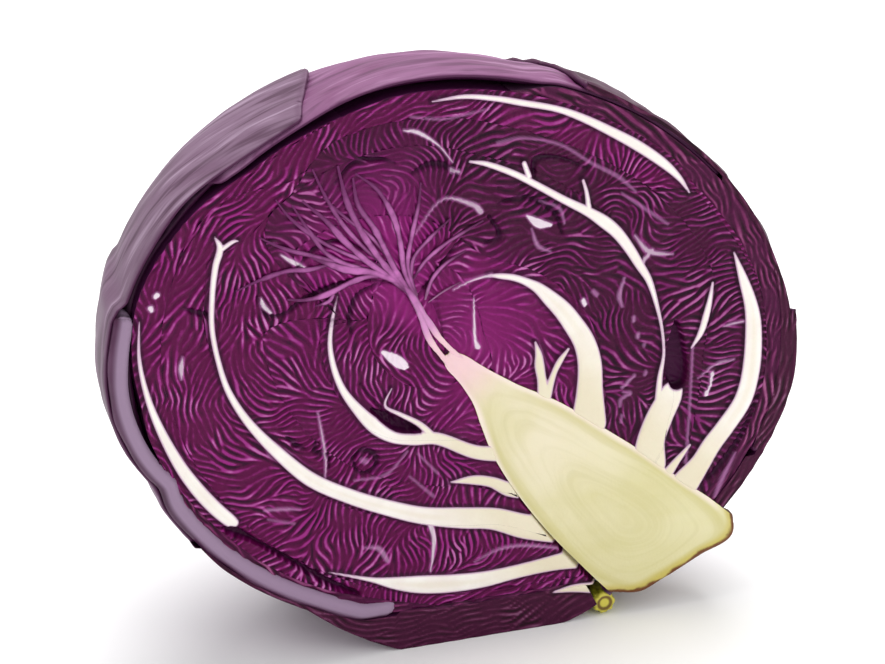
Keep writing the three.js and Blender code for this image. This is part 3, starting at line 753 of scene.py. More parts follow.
def fold_sheet(lean, wander):
    """The folds of one leaf, as a sheet. They grow out of noise: each round keeps what runs the
    way the leaf was squeezed and evens it out, so that the folds join up into long lines.
    "lean" is how far they turn from that way and "wander" how much they stray, in degrees."""
    x = ((np.arange(FOLD_GRID[0]) / FOLD_GRID[0] - 0.5) * FOLD_AREA[0])[:, None]
    z = ((np.arange(FOLD_GRID[1]) / FOLD_GRID[1] - 0.5) * FOLD_AREA[1])[None, :]
    turn = (np.degrees(np.arctan2(z, x)) - STEM_SLOPE_DEG + 180) % 360 - 180
    turn += 360 * np.round((np.mean([p[0] for p in lean]) - turn) / 360)
    way = turn + STEM_SLOPE_DEG + 90 + curve(lean, turn)
    way = way + wander * wander_sheet + SWIRL_DEG * swirl_sheet
    place = (way / 180 * FOLD_LEANS) % FOLD_LEANS
    wide = smooth(-0.6, 1.2, coarse_sheet)
    sheet = fold_random.standard_normal(FOLD_GRID)
    for _ in range(FOLD_ROUNDS):
        spectrum = np.fft.rfft2(np.tanh(FOLD_PUSH * sheet))
        sheet = np.zeros(FOLD_GRID)
        for share, shares in zip((1 - wide, wide), fold_waves):
            for k, keep in enumerate(shares):
                off = np.abs((place - k + FOLD_LEANS / 2) % FOLD_LEANS - FOLD_LEANS / 2)
                sheet += share * np.maximum(1 - off, 0) * np.fft.irfft2(spectrum * keep, FOLD_GRID)
        sheet = evened(sheet)
    usual, varying, least = FOLD_SHARE
    return finer(FOLD_HEIGHT * sheet * np.maximum(usual + varying * strength_sheet, least))


def finer(sheet):
    """The same sheet on a grid twice as fine."""
    spectrum = np.fft.rfft2(sheet)
    middle = FOLD_GRID[0] // 2
    fine = np.zeros((2 * FOLD_GRID[0], FOLD_GRID[1] + 1), complex)
    fine[:middle, :spectrum.shape[1]] = spectrum[:middle]
    fine[-middle:, :spectrum.shape[1]] = spectrum[-middle:]
    return 4 * np.fft.irfft2(fine)


def read_sheet(sheet, x, z):
    """The value of a sheet at points on the cut."""
    wide, high = sheet.shape
    column = np.clip((x / FOLD_AREA[0] + 0.5) * wide, 0, wide - 1.001)
    row = np.clip((z / FOLD_AREA[1] + 0.5) * high, 0, high - 1.001)
    i, j = column.astype(int), row.astype(int)
    u, v = column - i, row - j
    return ((1 - u) * (1 - v) * sheet[i, j] + u * (1 - v) * sheet[i + 1, j]
            + (1 - u) * v * sheet[i, j + 1] + u * v * sheet[i + 1, j + 1])


# ---------------------------------------------------------------- how the leaves are packed
# Each leaf is pressed on to those inside it. It is known by how far its outer surface reaches
# from the heart for every way out of it: it rests on what is packed already and fills the
# room below its own surface. The outermost leaves are only as thick as their own blade.

OUTLINE = [
    [-190, 75], [-178, 77], [-165, 79.5], [-150, 81.2], [-138, 81], [-124, 79.2], [-112, 77],
    [-98, 73.4], [-86, 71], [-73, 71], [-62, 74], [-50, 78.5], [-42, 80.5], [-30, 82.5], [-18, 84],
    [0, 87.5], [12, 89.6], [21, 91], [30, 92], [38, 91], [47, 88.4], [56, 85], [68, 81], [80, 77],
    [93, 73.8], [107, 72], [120, 71.4], [135, 71.6], [150, 72.6], [165, 74.2], [182, 77]]
BACK_REACH = 80
SLUMP = 0.175
GAP = 0.02
EDGE_THICKNESS = 0.9
THIN_EDGE = 0.12
HEART_HOLLOW = 0.2
LEAF_LIFT = 10.5
STEM_WIDTH_DEG = [[2, 24], [6, 21], [12, 18.4], [20, 17], [33, 15.9], [46, 15.1], [60, 14], [72, 13],
                  [86, 11.6]]
RUN_IN_DEG = 5.0
FARTHEST_DEG = 165
STUB_ROOM = 3.6
CUT_TAPER_DEG = 9
EDGE_TAPER = (-0.02, 0.16)
EDGE_SHARE = 0.3
RIM_FADE_DEG = (6, 1)
OVERLAP_DEG = 1.5

AROUND_STEP = 0.5
BEHIND_STEP = 1.5
grid_around = np.arange(-180, 180, AROUND_STEP)
grid_behind = np.arange(0, 90 + BEHIND_STEP / 2, BEHIND_STEP)
every_around, every_behind = np.meshgrid(grid_around, grid_behind)
ways = way_out(every_around, every_behind)
stem_way, right_way, back_way = way_out(0, 0), way_out(90, 0), way_out(0, 90)
stub_low, stub_high = (np.array(corner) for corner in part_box("stalk_stub"))
stub_place = (stub_low + stub_high) / 2 / MM - HEART


def outside(around, behind):
    """How far the head reaches, before it is flattened where it stands."""
    back = np.radians(behind)
    down = -way_out(around, behind)[..., 2]
    ball = ((np.cos(back) / curve(OUTLINE, around)) ** 2 + (np.sin(back) / BACK_REACH) ** 2) ** -0.5
    return ball * (1 + SLUMP * smooth(0.55, 0.86, down) * smooth(4, 26, behind))


whole_head = outside(every_around, every_behind)
packed = np.full(every_around.shape, HEART_HOLLOW)


def angle_to(place):
    """How many degrees every way out of the heart is from the way to a place."""
    return np.degrees(np.arccos(np.clip(ways @ (place / np.linalg.norm(place)), -1, 1)))


def softened(sheet, rounds):
    """Evens out a sheet over the head, the way a leaf drapes over the edges of those below."""
    for _ in range(rounds):
        sheet = (np.roll(sheet, 2, 1) + 2 * sheet + np.roll(sheet, -2, 1)) / 4
        ends = np.concatenate([sheet[:1], sheet, sheet[-1:]])
        sheet = (ends[:-2] + 2 * sheet + ends[2:]) / 4
    return sheet


def pack_leaf(side, middle, size, share, reach=None, plate=None, set_back=0, lift=LEAF_LIFT,
              waves=0.0, drape=0, rise=80, turned=0, rim=0.0):
    """Packs one leaf. "side" is how far round the stem it stands, "middle" how far its middle
    is from the stem and "size" its half length and half width, all in degrees. "reach" is how
    far it comes out at the cut and "share" what part of the head it closes at the back. A loose
    leaf has a "plate", which is its thickness, and stays "set_back" degrees behind the cut,
    with a "rim" added along the edge it shows there. "waves" ripple its outline, "drape" eases
    it over the leaves below and "rise" is how fast it comes up from the cut."""
    turn, tilt = np.radians(side), np.radians(middle)
    outwards = right_way * np.cos(turn) + back_way * np.sin(turn)
    centre = stem_way * np.cos(tilt) + outwards * np.sin(tilt)
    lengthways = outwards * np.cos(tilt) - stem_way * np.sin(tilt)
    x, y = ways @ lengthways, ways @ np.cross(centre, lengthways)
    far = angle_to(centre)
    scale = far / np.maximum(np.hypot(x, y), 1e-6)
    spin = np.radians(turned)
    along = (x * np.cos(spin) + y * np.sin(spin)) * scale
    across = (y * np.cos(spin) - x * np.sin(spin)) * scale
    bearing = np.arctan2(across, along)
    wavy = waves * (np.sin(5 * bearing + middle) + 0.6 * np.sin(11 * bearing + side))
    inside = 1 - np.hypot(along / size[0], across / size[1]) + wavy
    inside[far > FARTHEST_DEG] = -1

    if reach is None:
        wanted = share * whole_head
    else:
        middle_around = (min(reach)[0] + max(reach)[0]) / 2
        carried_on = every_around + 360 * np.round((middle_around - every_around) / 360)
        on_face = curve(reach, carried_on) / curve(OUTLINE, every_around)
        wanted = (on_face + (share - on_face) * smooth(0, rise, every_behind)) * whole_head
    down = np.maximum(-ways[..., 2], 1e-6)
    wanted = np.minimum(wanted, np.where(ways[..., 2] < 0, (HEART[2] - lift) / down, 1e6))

    off_stem = (angle_to(stem_way) - curve(STEM_WIDTH_DEG, wanted) + RUN_IN_DEG) / size[0]
    near_stub = wanted > np.linalg.norm(stub_place) - STUB_ROOM
    off_stub = np.where(near_stub, (angle_to(stub_place) - STUB_ROOM) / size[0], 1)
    off_cut = (every_behind - set_back) / size[0] if set_back else 1.0
    room = np.minimum(np.minimum(inside, off_stem), np.minimum(off_stub, off_cut))

    rest = packed + GAP
    taper = smooth(*EDGE_TAPER, inside)
    ceiling = np.maximum(wanted, rest + EDGE_THICKNESS)
    if plate:
        outer = softened(ceiling, drape)
        if set_back:
            taper = np.minimum(taper, smooth(0, CUT_TAPER_DEG, every_behind - set_back))
        thickness = plate * (EDGE_SHARE + (1 - EDGE_SHARE) * taper)
        thickness = thickness + rim * smooth(*RIM_FADE_DEG, every_behind - set_back)
        inner = outer - np.maximum(thickness, EDGE_THICKNESS)
        if not drape:
            inner = np.maximum(inner, rest)
    else:
        outer = rest + THIN_EDGE + (ceiling - rest - THIN_EDGE) * taper
        inner = rest
    used = room > -OVERLAP_DEG / size[0]
    packed[used] = np.maximum(outer, packed)[used]
    return {"room": room, "inner": inner, "outer": outer, "along": along, "across": across,
            "inside": inside}


def pick(sheet, around, behind):
    """The value of a sheet over the head for any way out of the heart."""
    column = ((around + 180) / AROUND_STEP) % len(grid_around)
    row = np.clip(behind / BEHIND_STEP, 0, len(grid_behind) - 1.0001)
    i, j = column.astype(int), row.astype(int)
    u, v = column - i, row - j
    i, k = i % len(grid_around), (i + 1) % len(grid_around)
    return ((1 - v) * ((1 - u) * sheet[j, i] + u * sheet[j, k])
            + v * ((1 - u) * sheet[j + 1, i] + u * sheet[j + 1, k]))


def leaf_net(rows):
    """A net of ways out of the heart: rows of [degrees behind the cut, how many ways], each
    with as many as the one before it or half, closed by one way straight back."""
    around, behind, faces, starts = [], [], [], []
    for back, count in rows:
        starts.append(sum(len(a) for a in around))
        around.append(-180 + 360 * np.arange(count) / count)
        behind.append(np.full(count, float(back)))
    pole = sum(len(a) for a in around)
    for (_, count), (_, after), first, second in zip(rows, rows[1:], starts, starts[1:]):
        k = np.arange(after)
        c0, c1 = second + k, second + (k + 1) % after
        if count == after:
            a, b = first + k, first + (k + 1) % count
            faces += [np.stack([a, b, c1], -1), np.stack([a, c1, c0], -1)]
        else:
            f0, f1, f2 = first + 2 * k, first + 2 * k + 1, first + (2 * k + 2) % count
            faces += [np.stack([f0, f1, c0], -1), np.stack([f1, c1, c0], -1),
                      np.stack([f1, f2, c1], -1)]
    last = np.arange(rows[-1][1])
    faces.append(np.stack([starts[-1] + last, starts[-1] + np.roll(last, -1),
                           np.full(len(last), pole)], -1))
    around.append([90.0])
    behind.append([90.0])
    return np.concatenate(around), np.concatenate(behind), np.concatenate(faces)


FACE_STEP = 0.36
RIM_STEPS = 4
MOST_BULGE = 1.7
LEAST_TRIM = 0.06


def face_net(reach):
    """A net for a leaf inside the head: fine on the cut face, coarse behind it."""
    count = 16 * int(np.ceil(2 * np.pi * reach / FACE_STEP / 16))
    shares = [(0, 1), (5, 2), (11, 4), (19, 8), (29, 8), (41, 16), (55, 16), (71, 16)]
    return leaf_net([(back, count // share) for back, share in shares])


WRAPPER_NET = leaf_net([(back, 480) for back in np.arange(0, 50, 1.1)]
                       + [(back, 240) for back in np.arange(51, 74, 1.8)]
                       + [(back, 120) for back in np.arange(76, 89, 3.0)])
UNDER_NET = leaf_net([(back, 360) for back in np.arange(0, 40, 1.6)]
                     + [(back, 180) for back in np.arange(42, 70, 3.0)]
                     + [(back, 90) for back in np.arange(74, 89, 5.0)])


def trimmed(faces, room, state):
    """Cuts a net off where the room in the leaf runs out. Returns its faces and its state."""
    inside = room[faces] > 0
    count = inside.sum(1)

    def turned(chosen, lead):
        first = np.argmax(lead, 1)[:, None]
        return np.take_along_axis(chosen, (first + np.arange(3)) % 3, 1)

    one = turned(faces[count == 1], inside[count == 1])
    two = turned(faces[count == 2], ~inside[count == 2])
    pairs = [one[:, [0, 1]], one[:, [0, 2]], two[:, [0, 1]], two[:, [0, 2]]]
    pairs = np.sort(np.concatenate(pairs), 1)
    edges, number = np.unique(pairs, axis=0, return_inverse=True)
    number = number.ravel() + len(room)
    a, b = number[:len(one)], number[len(one):2 * len(one)]
    c, d = number[2 * len(one):-len(two)], number[-len(two):]
    share = room[edges[:, 0]] / (room[edges[:, 0]] - room[edges[:, 1]])
    share = np.clip(share, LEAST_TRIM, 1 - LEAST_TRIM)[:, None]
    state = np.concatenate([state, (1 - share) * state[edges[:, 0]] + share * state[edges[:, 1]]])
    left_in = np.concatenate([faces[count == 3], np.stack([one[:, 0], a, b], -1),
                              np.stack([c, two[:, 1], two[:, 2]], -1),
                              np.stack([c, two[:, 2], d], -1)])
    used, left_in = np.unique(left_in, return_inverse=True)
    return left_in.reshape(-1, 3), state[used]


def stitched(low, high):
    """Triangles between two columns of points that need not have as many points."""
    faces = []
    i = j = 0
    last_low, last_high = len(low) - 1, len(high) - 1
    while i < last_low or j < last_high:
        low_is_behind = (i + 1) * last_high <= (j + 1) * last_low
        if j == last_high or (i < last_low and low_is_behind):
            faces.append([low[i], low[i + 1], high[j]])
            i += 1
        else:
            faces.append([low[i], high[j + 1], high[j]])
            j += 1
    return np.array(faces)


def open_edges(skin, count):
    """The edges round the outside of a skin, as the points they start and end at."""
    start, end = np.concatenate([skin[:, [0, 1]], skin[:, [1, 2]], skin[:, [2, 0]]]).T
    border = ~np.isin(start * count + end, end * count + start)
    return start[border], end[border]


def away_from_leaf(start, end, way, place):
    """The direction out of the leaf at each point of its edge, level with its surface."""
    outwards = np.cross(way[start], place[end] - place[start])
    outwards /= np.linalg.norm(outwards, axis=1)[:, None] + 1e-9
    push = np.zeros(way.shape)
    np.add.at(push, start, outwards)
    np.add.at(push, end, outwards)
    return push / (np.linalg.norm(push, axis=1)[:, None] + 1e-9)


def edge_walls(columns, start, end, many, kind):
    """The faces between the columns of points round the edge of a leaf, and their kinds."""
    faces, kinds = [], []
    level = many[start] == many[end]
    for steps, which in sorted({*zip(many[start][level].tolist(), kind[level].tolist())}):
        chosen = level & (many[start] == steps) & (kind == which)
        low = np.array([columns[i] for i in start[chosen].tolist()])
        high = np.array([columns[i] for i in end[chosen].tolist()])
        wall = np.stack([low[:, :-1], low[:, 1:], high[:, 1:], high[:, :-1]], -1)
        faces.append(wall.reshape(-1, 4))
        kinds.append(np.full(len(faces[-1]), which))
    uneven = ~level
    for i, j, which in zip(start[uneven].tolist(), end[uneven].tolist(), kind[uneven].tolist()):
        faces.append(stitched(columns[i], columns[j]))
        kinds.append(np.full(len(faces[-1]), which))
    return faces, kinds


OFF_THE_CUT = {"rib": -3.0, "vein": 0.0, "hollow": -3.0, "fold": 0.0, "edge": 3.0, "tuck": 0.0,
               "crease": 0.0, "stem": -40.0, "glow": 0.0}


def cut_values(x, z, share, thick, folds):
    """What lies at each point of the cut face. "share" is how far through the leaf it is."""
    reach = np.hypot(x, z)
    turn = (np.degrees(np.arctan2(z, x)) - STEM_SLOPE_DEG + 180) % 360 - 180
    hollow = inside_any(HOLLOWS, x, z)
    to_stem = inside_stem(turn, reach)
    return {"rib": np.minimum(inside_any(MIDRIBS, x, z) - RIB_SKIN, -hollow - RIB_SKIN),
            "vein": vein_strength(x, z), "hollow": hollow,
            "crease": smooth(-0.35, 0.5, inside_any(CREASES, x, z)),
            "stem": np.clip(to_stem, -40, 3), "tuck": smooth(0.1, 1.7, to_stem),
            "glow": heart_glow(turn, reach), "fold": read_sheet(folds, x, z),
            "edge": np.minimum(share, 1 - share) * thick}


def leaf_mesh(name, leaf, net, folds, veins=None, bulge=0.8):
    """A packed leaf as one closed mesh: its inner and outer skins over the part of the net
    inside its outline, the cut face between them and a rounded rim round the rest."""
    around, behind, faces = net
    sheets = [pick(leaf[label], around, behind)
              for label in ("room", "inner", "outer", "along", "across", "inside")]
    room, inner, outer = sheets[:3]
    way = way_out(around, behind)
    state = np.concatenate([way * inner[:, None], way * outer[:, None], way,
                            np.stack([*sheets[3:], behind == 0], -1)], 1)
    skin, state = trimmed(faces, room, state)
    count = len(state)
    inside_points, outside_points, way = state[:, :3], state[:, 3:6], state[:, 6:9]
    on_face = state[:, 12] > 0.999

    start, end = open_edges(skin, count)
    push = away_from_leaf(start, end, way, inside_points)
    thick = np.linalg.norm(outside_points - inside_points, axis=1)
    cut = np.zeros(count, bool)
    cut[start[on_face[start] & on_face[end]]] = True
    cut[end[on_face[start] & on_face[end]]] = True
    many = np.where(cut, np.maximum(np.round(thick / FACE_STEP), 2), RIM_STEPS).astype(int)
    columns = {}
    points = [inside_points, outside_points]
    owner = [np.arange(count), np.arange(count)]
    shares = [np.zeros(count), np.ones(count)]
    total = 2 * count
    rim = np.zeros(count, bool)
    rim[start] = rim[end] = True
    for steps in np.unique(many[rim]):
        for chosen, round_out in ((np.flatnonzero(rim & cut & (many == steps)), 0),
                                  (np.flatnonzero(rim & ~cut & (many == steps)), bulge)):
            t = np.arange(1, steps) / steps
            out = np.minimum(thick[chosen] / 2, MOST_BULGE) * round_out
            round_part = np.sqrt(1 - (2 * t - 1) ** 2)[None, :, None]
            rise = out[:, None, None] * round_part * push[chosen][:, None]
            low, high = inside_points[chosen][:, None], outside_points[chosen][:, None]
            points.append((low + (high - low) * t[None, :, None] + rise).reshape(-1, 3))
            owner.append(np.repeat(chosen, steps - 1))
            shares.append(np.tile(t, len(chosen)))
            ids = total + np.arange(len(chosen) * (steps - 1)).reshape(len(chosen), steps - 1)
            full = np.concatenate([chosen[:, None], ids, chosen[:, None] + count], 1)
            columns.update(zip(chosen.tolist(), full))
            total += ids.size
    kind = np.where(cut[start] & cut[end], 0, 1)
    faces, kinds = edge_walls(columns, start, end, many, kind)
    faces += [skin, skin[:, ::-1] + count]
    kinds.append(np.full(2 * len(skin), 1))

    points, owner, share = np.concatenate(points), np.concatenate(owner), np.concatenate(shares)
    on_cut_face = cut[owner]
    values = {"cut": on_cut_face, "outer": share, "along": state[owner, 9],
              "across": state[owner, 10], "inside": state[owner, 11]}
    values.update({label: np.full(len(points), value) for label, value in OFF_THE_CUT.items()})
    if on_cut_face.any():
        x, z = points[on_cut_face][:, 0], points[on_cut_face][:, 2]
        found = cut_values(x, z, share[on_cut_face], thick[owner][on_cut_face], folds)
        for label, value in found.items():
            values[label][on_cut_face] = value
    rise = np.zeros(len(points))
    if veins:
        on_skin = (share == 1) & ~on_cut_face
        rise[on_skin] = veins(values["along"][on_skin], values["across"][on_skin])
    values["rise"] = rise
    kinds = np.concatenate(kinds)
    mesh = new_mesh(name, points + HEART, faces, values, kinds)
    sharpen(mesh, kinds)
    return mesh


def sharpen(mesh, kinds):
    """Makes the edges between the cut face and the skin crisp."""
    sides = np.empty(len(mesh.polygons), np.int32)
    mesh.polygons.foreach_get("loop_total", sides)
    edge = np.empty(len(mesh.loops), np.int32)
    mesh.loops.foreach_get("edge_index", edge)
    kind = np.repeat(kinds, sides)
    lowest, highest = np.ones(len(mesh.edges)), np.zeros(len(mesh.edges))
    np.minimum.at(lowest, edge, kind)
    np.maximum.at(highest, edge, kind)
    data = mesh.attributes.new("sharp_edge", "BOOLEAN", "EDGE").data
    data.foreach_set("value", lowest < highest)


# ---------------------------------------------------------------- what a leaf looks like
# The blades inside the head are soft and dark purple, so they sink and crumple between their
# firm white ribs. Their folds show as lilac lines, with painted light on their crests. The ribs are wet
# and smooth.


def leaf_shape(tree, given):
    """Sinks and folds the soft blades between the firm ribs, and lifts the veins of the skin."""
    cut, rib = named(tree, "cut"), named(tree, "rib")
    soft = between(tree, rib, -0.05, -0.6)
    groove = between(tree, named(tree, "fold"), 1.3, -1.1)
    sunk = sums(tree, "MULTIPLY_ADD", groove, given["Fold depth"], given["Sunk"])
    sunk = times(tree, soft, sunk)
    hollow = times(tree, between(tree, named(tree, "hollow"), -0.55, 0.35), soft)
    hollow = times(tree, hollow, given["Hollow depth"])
    crown = times(tree, between(tree, rib, -0.2, 1.1), given["Rib rise"])
    vein = times(tree, times(tree, named(tree, "vein"), soft), given["Vein rise"])
    crease = times(tree, times(tree, named(tree, "crease"), soft), given["Crease depth"])
    sunk = sums(tree, "ADD", sunk, crease)
    back = sums(tree, "SUBTRACT", sums(tree, "ADD", sunk, hollow), sums(tree, "ADD", crown, vein))
    back = times(tree, back, cut)
    back = sums(tree, "MULTIPLY_ADD", named(tree, "tuck"), given["Tuck"], back)
    backwards = node(tree, "ShaderNodeCombineXYZ", {"Y": back}).outputs[0]

    place = node(tree, "GeometryNodeInputPosition").outputs[0]
    crumple = node(tree, "ShaderNodeTexNoise", {"Vector": place, "Scale": 75.0, "Detail": 2.0})
    crumple = times(tree, sums(tree, "SUBTRACT", crumple.outputs["Fac"], 0.5), given["Crinkle"])
    lift = sums(tree, "MULTIPLY_ADD", named(tree, "rise"), given["Skin rise"], crumple)
    lift = times(tree, lift, sums(tree, "SUBTRACT", 1.0, cut))
    lift = times(tree, lift, named(tree, "outer"))
    normal = node(tree, "GeometryNodeInputNormal").outputs[0]
    out = node(tree, "ShaderNodeVectorMath", {0: normal, "Scale": lift}, operation="SCALE").outputs[0]
    offset = node(tree, "ShaderNodeVectorMath", {0: out, 1: backwards}).outputs[0]
    return node(tree, "GeometryNodeSetPosition", {"Geometry": given["Geometry"],
                                                  "Offset": offset}).outputs[0]


SHAPE = {"Sunk": 0.25, "Fold_depth": 0.4, "Crease_depth": 0.8, "Hollow_depth": 2.2,
         "Rib_rise": 0.3, "Vein_rise": 0.35, "Tuck": 2.6, "Crinkle": 0.0, "Skin_rise": 0.0}
LEAF_TREE = two_faced_tree("leaf_shape", [label.replace("_", " ") for label in SHAPE], leaf_shape)


def cut_leaf_group():
    """The cut through a packed leaf: its folds, veins and ribs as one colour, with light and shade
    painted in: painted shade in the fold troughs, crevices, creases, hollows and beside the ribs,
    painted light on the fold crests and painted highlights on the highest crests.
    """
    colours = [("Shadow", "2a0326"), ("Ground", "50063e"), ("Line", "8c1e74"), ("Bright", "c478b2"),
               ("Rib", "f6f2ec"), ("Glow", "9a207c")]
    tree, given, made = effect_group(
        "cut_leaf", [(label, "NodeSocketColor", rgb(code)) for label, code in colours],
        [("Color", "NodeSocketColor"), ("Grain", "NodeSocketFloat")])
    rib, edge, vein = grown(tree, "rib"), grown(tree, "edge"), grown(tree, "vein")
    grain = noise(tree, 700.0, 3.0)
    patch = noise(tree, 95.0, 3.0)
    fold = sums(tree, "MULTIPLY_ADD", sums(tree, "SUBTRACT", grain, 0.5), 1.3, grown(tree, "fold"))
    # Painted light and shade: the fold troughs take the Shadow colour as painted shade, and the crests
    # take the lit line colour, which is the blade's own lilac cut edge with painted light on it.
    colour = blend(tree, between(tree, fold, -1.8, -0.1), given["Shadow"], given["Ground"])
    colour = blend(tree, between(tree, fold, 0.1, 1.3), colour, given["Line"])
    colour = blend(tree, times(tree, grown(tree, "glow"), 0.5), colour, given["Glow"])
    # Painted highlights: the palest colour is laid as glints on the highest fold crests, in patches,
    # standing in for the shine of the wet cut.
    glint = times(tree, between(tree, fold, 0.9, 2.2), between(tree, patch, 0.36, 0.6))
    colour = blend(tree, glint, colour, given["Bright"])
    # Painted shade: the cut darkens towards the Shadow colour near the inner and outer skins of each
    # leaf, where the leaves meet.
    crevice_shade = times(tree, between(tree, edge, 0.3, 0.0), 0.12)
    colour = blend(tree, crevice_shade, colour, given["Shadow"])
    # Painted shade: the hollows between leaves are darkened to a deep wine as the shade inside them.
    hollow = between(tree, grown(tree, "hollow"), -0.35, 0.4)
    # Painted shade: the creases are darkened nearly to black as the shade inside them.
    crease = times(tree, grown(tree, "crease"), 0.8)
    colour = blend(tree, crease, colour, "22021f")
    colour = blend(tree, hollow, colour, "3a0830")
    # Painted shade: a dark band along each side of the ribs, as the shadow beside them.
    beside = times(tree, between(tree, rib, -1.25, -0.4), 0.72)
    colour = blend(tree, beside, colour, given["Shadow"])
    paler = blend(tree, between(tree, vein, 0.5, 0.85), "bb78b2", "f0e0ec")
    colour = blend(tree, times(tree, vein, 0.95), colour, paler)
    middle = between(tree, noise(tree, 120.0, 3.0, (1, 1, 1)), 0.3, 0.75)
    middle = blend(tree, middle, "efe7e0", given["Rib"])
    cream = blend(tree, noise(tree, 60.0, 3.0), "d9ceae", "e8dfc6")
    near_stem = times(tree, between(tree, grown(tree, "stem"), -26.0, -3.0), 0.9)
    thick = times(tree, between(tree, rib, 0.9, 2.2), 0.35)
    middle = blend(tree, sums(tree, "MAXIMUM", near_stem, thick), middle, cream)
    firm = blend(tree, between(tree, rib, 0.0, 0.5), "c9a6c2", middle)
    colour = blend(tree, between(tree, rib, -0.16, 0.1), colour, firm)
    tree.links.new(colour, made["Color"])
    tree.links.new(grain, made["Grain"])
    return tree


CUT_LEAF = cut_leaf_group()
BLADE_GLOW = (0.002, 0.001, 0.0015)


def cut_leaf_material(name, **colours):
    material, tree, shader = new_material(name)
    leaf = use_group(tree, CUT_LEAF, **{label: rgb(code) for label, code in colours.items()})
    wet = use_group(tree, MOIST_FLESH, Cell_size=1500.0, Dry_roughness=0.5)
    height = sums(tree, "MULTIPLY_ADD", leaf["Grain"], 1.2, wet["Height"])
    wire(tree, shader, Base_Color=leaf["Color"], Roughness=wet["Roughness"],
         Normal=bump(tree, height, 0.4, 0.14), Specular_IOR_Level=0.12,
         Subsurface_Weight=0.08, Subsurface_Radius=BLADE_GLOW)
    return material


def skin_group():
    """A leaf's outer skin: its veins, a bloom of wax rubbed off in streaks, and its edge."""
    colours = [("Skin", "5e2a52"), ("Bloom", "97829a"), ("Streak", "4a1d40"), ("Vein", "b49ab0"),
               ("Edge", "c9b3c6"), ("Under", "45123c")]
    amounts = [("Wax", 0.7), ("Streaks", 0.3), ("Veining", 0.4)]
    inputs = [(label, "NodeSocketColor", rgb(code)) for label, code in colours]
    inputs += [(label, "NodeSocketFloat", amount) for label, amount in amounts]
    tree, given, made = effect_group("leaf_skin", inputs, [
        ("Color", "NodeSocketColor"), ("Roughness", "NodeSocketFloat"), ("Height", "NodeSocketFloat")])
    lay = node(tree, "ShaderNodeCombineXYZ", {"X": grown(tree, "along"), "Y": grown(tree, "across")})
    streaks = noise(tree, 0.34, 3.0, (0.09, 1.0, 1), lay.outputs[0], 0.6, 0.3)
    threads = noise(tree, 1.6, 3.0, (0.07, 1.0, 1), lay.outputs[0])
    patches = noise(tree, 42.0, 4.0)
    rise = grown(tree, "rise")
    wax = times(tree, between(tree, patches, 0.25, 0.62), given["Wax"])
    colour = blend(tree, wax, given["Skin"], given["Bloom"])
    dark = times(tree, between(tree, streaks, 0.5, 0.64), given["Streaks"])
    colour = blend(tree, dark, colour, given["Streak"])
    light = times(tree, between(tree, streaks, 0.46, 0.34), given["Streaks"])
    colour = blend(tree, times(tree, light, 0.7), colour, given["Vein"])
    thread = times(tree, between(tree, threads, 0.5, 0.7), given["Streaks"])
    colour = blend(tree, times(tree, thread, 0.35), colour, given["Streak"])
    vein = times(tree, between(tree, rise, 0.12, 0.7), given["Veining"])
    vein = times(tree, vein, between(tree, grown(tree, "inside"), 0.02, 0.14))
    colour = blend(tree, vein, colour, given["Vein"])
    margin = times(tree, between(tree, grown(tree, "inside"), 0.03, 0.0), 0.6)
    colour = blend(tree, margin, colour, given["Edge"])
    under = between(tree, grown(tree, "outer"), 0.92, 0.6, 0.0, 0.9)
    colour = blend(tree, under, colour, given["Under"])
    rough = sums(tree, "MULTIPLY_ADD", wax, 0.3, 0.4)
    height = sums(tree, "MULTIPLY_ADD", threads, 0.6, noise(tree, 480.0, 3.0))
    tree.links.new(colour, made["Color"])
    tree.links.new(rough, made["Roughness"])
    tree.links.new(height, made["Height"])
    return tree


LEAF_SKIN = skin_group()


def skin_material(name, wax, streaks=0.3, veining=0.4, **colours):
    material, tree, shader = new_material(name)
    skin = use_group(tree, LEAF_SKIN, Wax=wax, Streaks=streaks, Veining=veining,
                     **{label: rgb(code) for label, code in colours.items()})
    wire(tree, shader, Base_Color=skin["Color"], Roughness=skin["Roughness"],
         Normal=bump(tree, skin["Height"], 0.35, 0.2), Specular_IOR_Level=0.25)
    return material


def make_leaf(name, slot, mesh, cut, skin, **shape):
    """Gives a leaf its relief, materials and place. "shape" replaces sizes given in SHAPE."""
    leaf = new_object(name + "_blade", mesh)
    sizes = {label: shape.get(label, size) * MM for label, size in SHAPE.items()}
    apply_tree(leaf, LEAF_TREE, Cut_material=cut, Skin_material=skin, **sizes)
    finish_piece(leaf, slot, name)


def inner_leaf(name, slot, place, cut, lean, wander):
    """A leaf packed inside the head, which shows only where it is cut."""
    leaf = pack_leaf(**place)
    widest = max(r for _, r in place["reach"])
    mesh = leaf_mesh(name + "_blade", leaf, face_net(widest), fold_sheet(lean, wander), bulge=0.0)
    make_leaf(name, slot, mesh, cut, INNER_SKIN)


# ---------------------------------------------------------------- the heart leaves
# The youngest leaves, curled tightly over the tip of the stem. They are the palest and
# pinkest, and the finest folded.

HEART_CUT = cut_leaf_material("heart_leaf_cut", Shadow="34032a", Ground="580640", Line="8c2276",
                              Bright="be72ac")
# Partly painted shade: the skin of the leaves inside the head is their own dark purple, made darker
# still as the shade in the gaps and hollows where it shows.
INNER_SKIN = skin_material("inner_leaf_skin", 0.15, Skin="3a0a34", Bloom="54284e",
                           Streak="2a0624", Vein="6a4064", Edge="4a1c44")

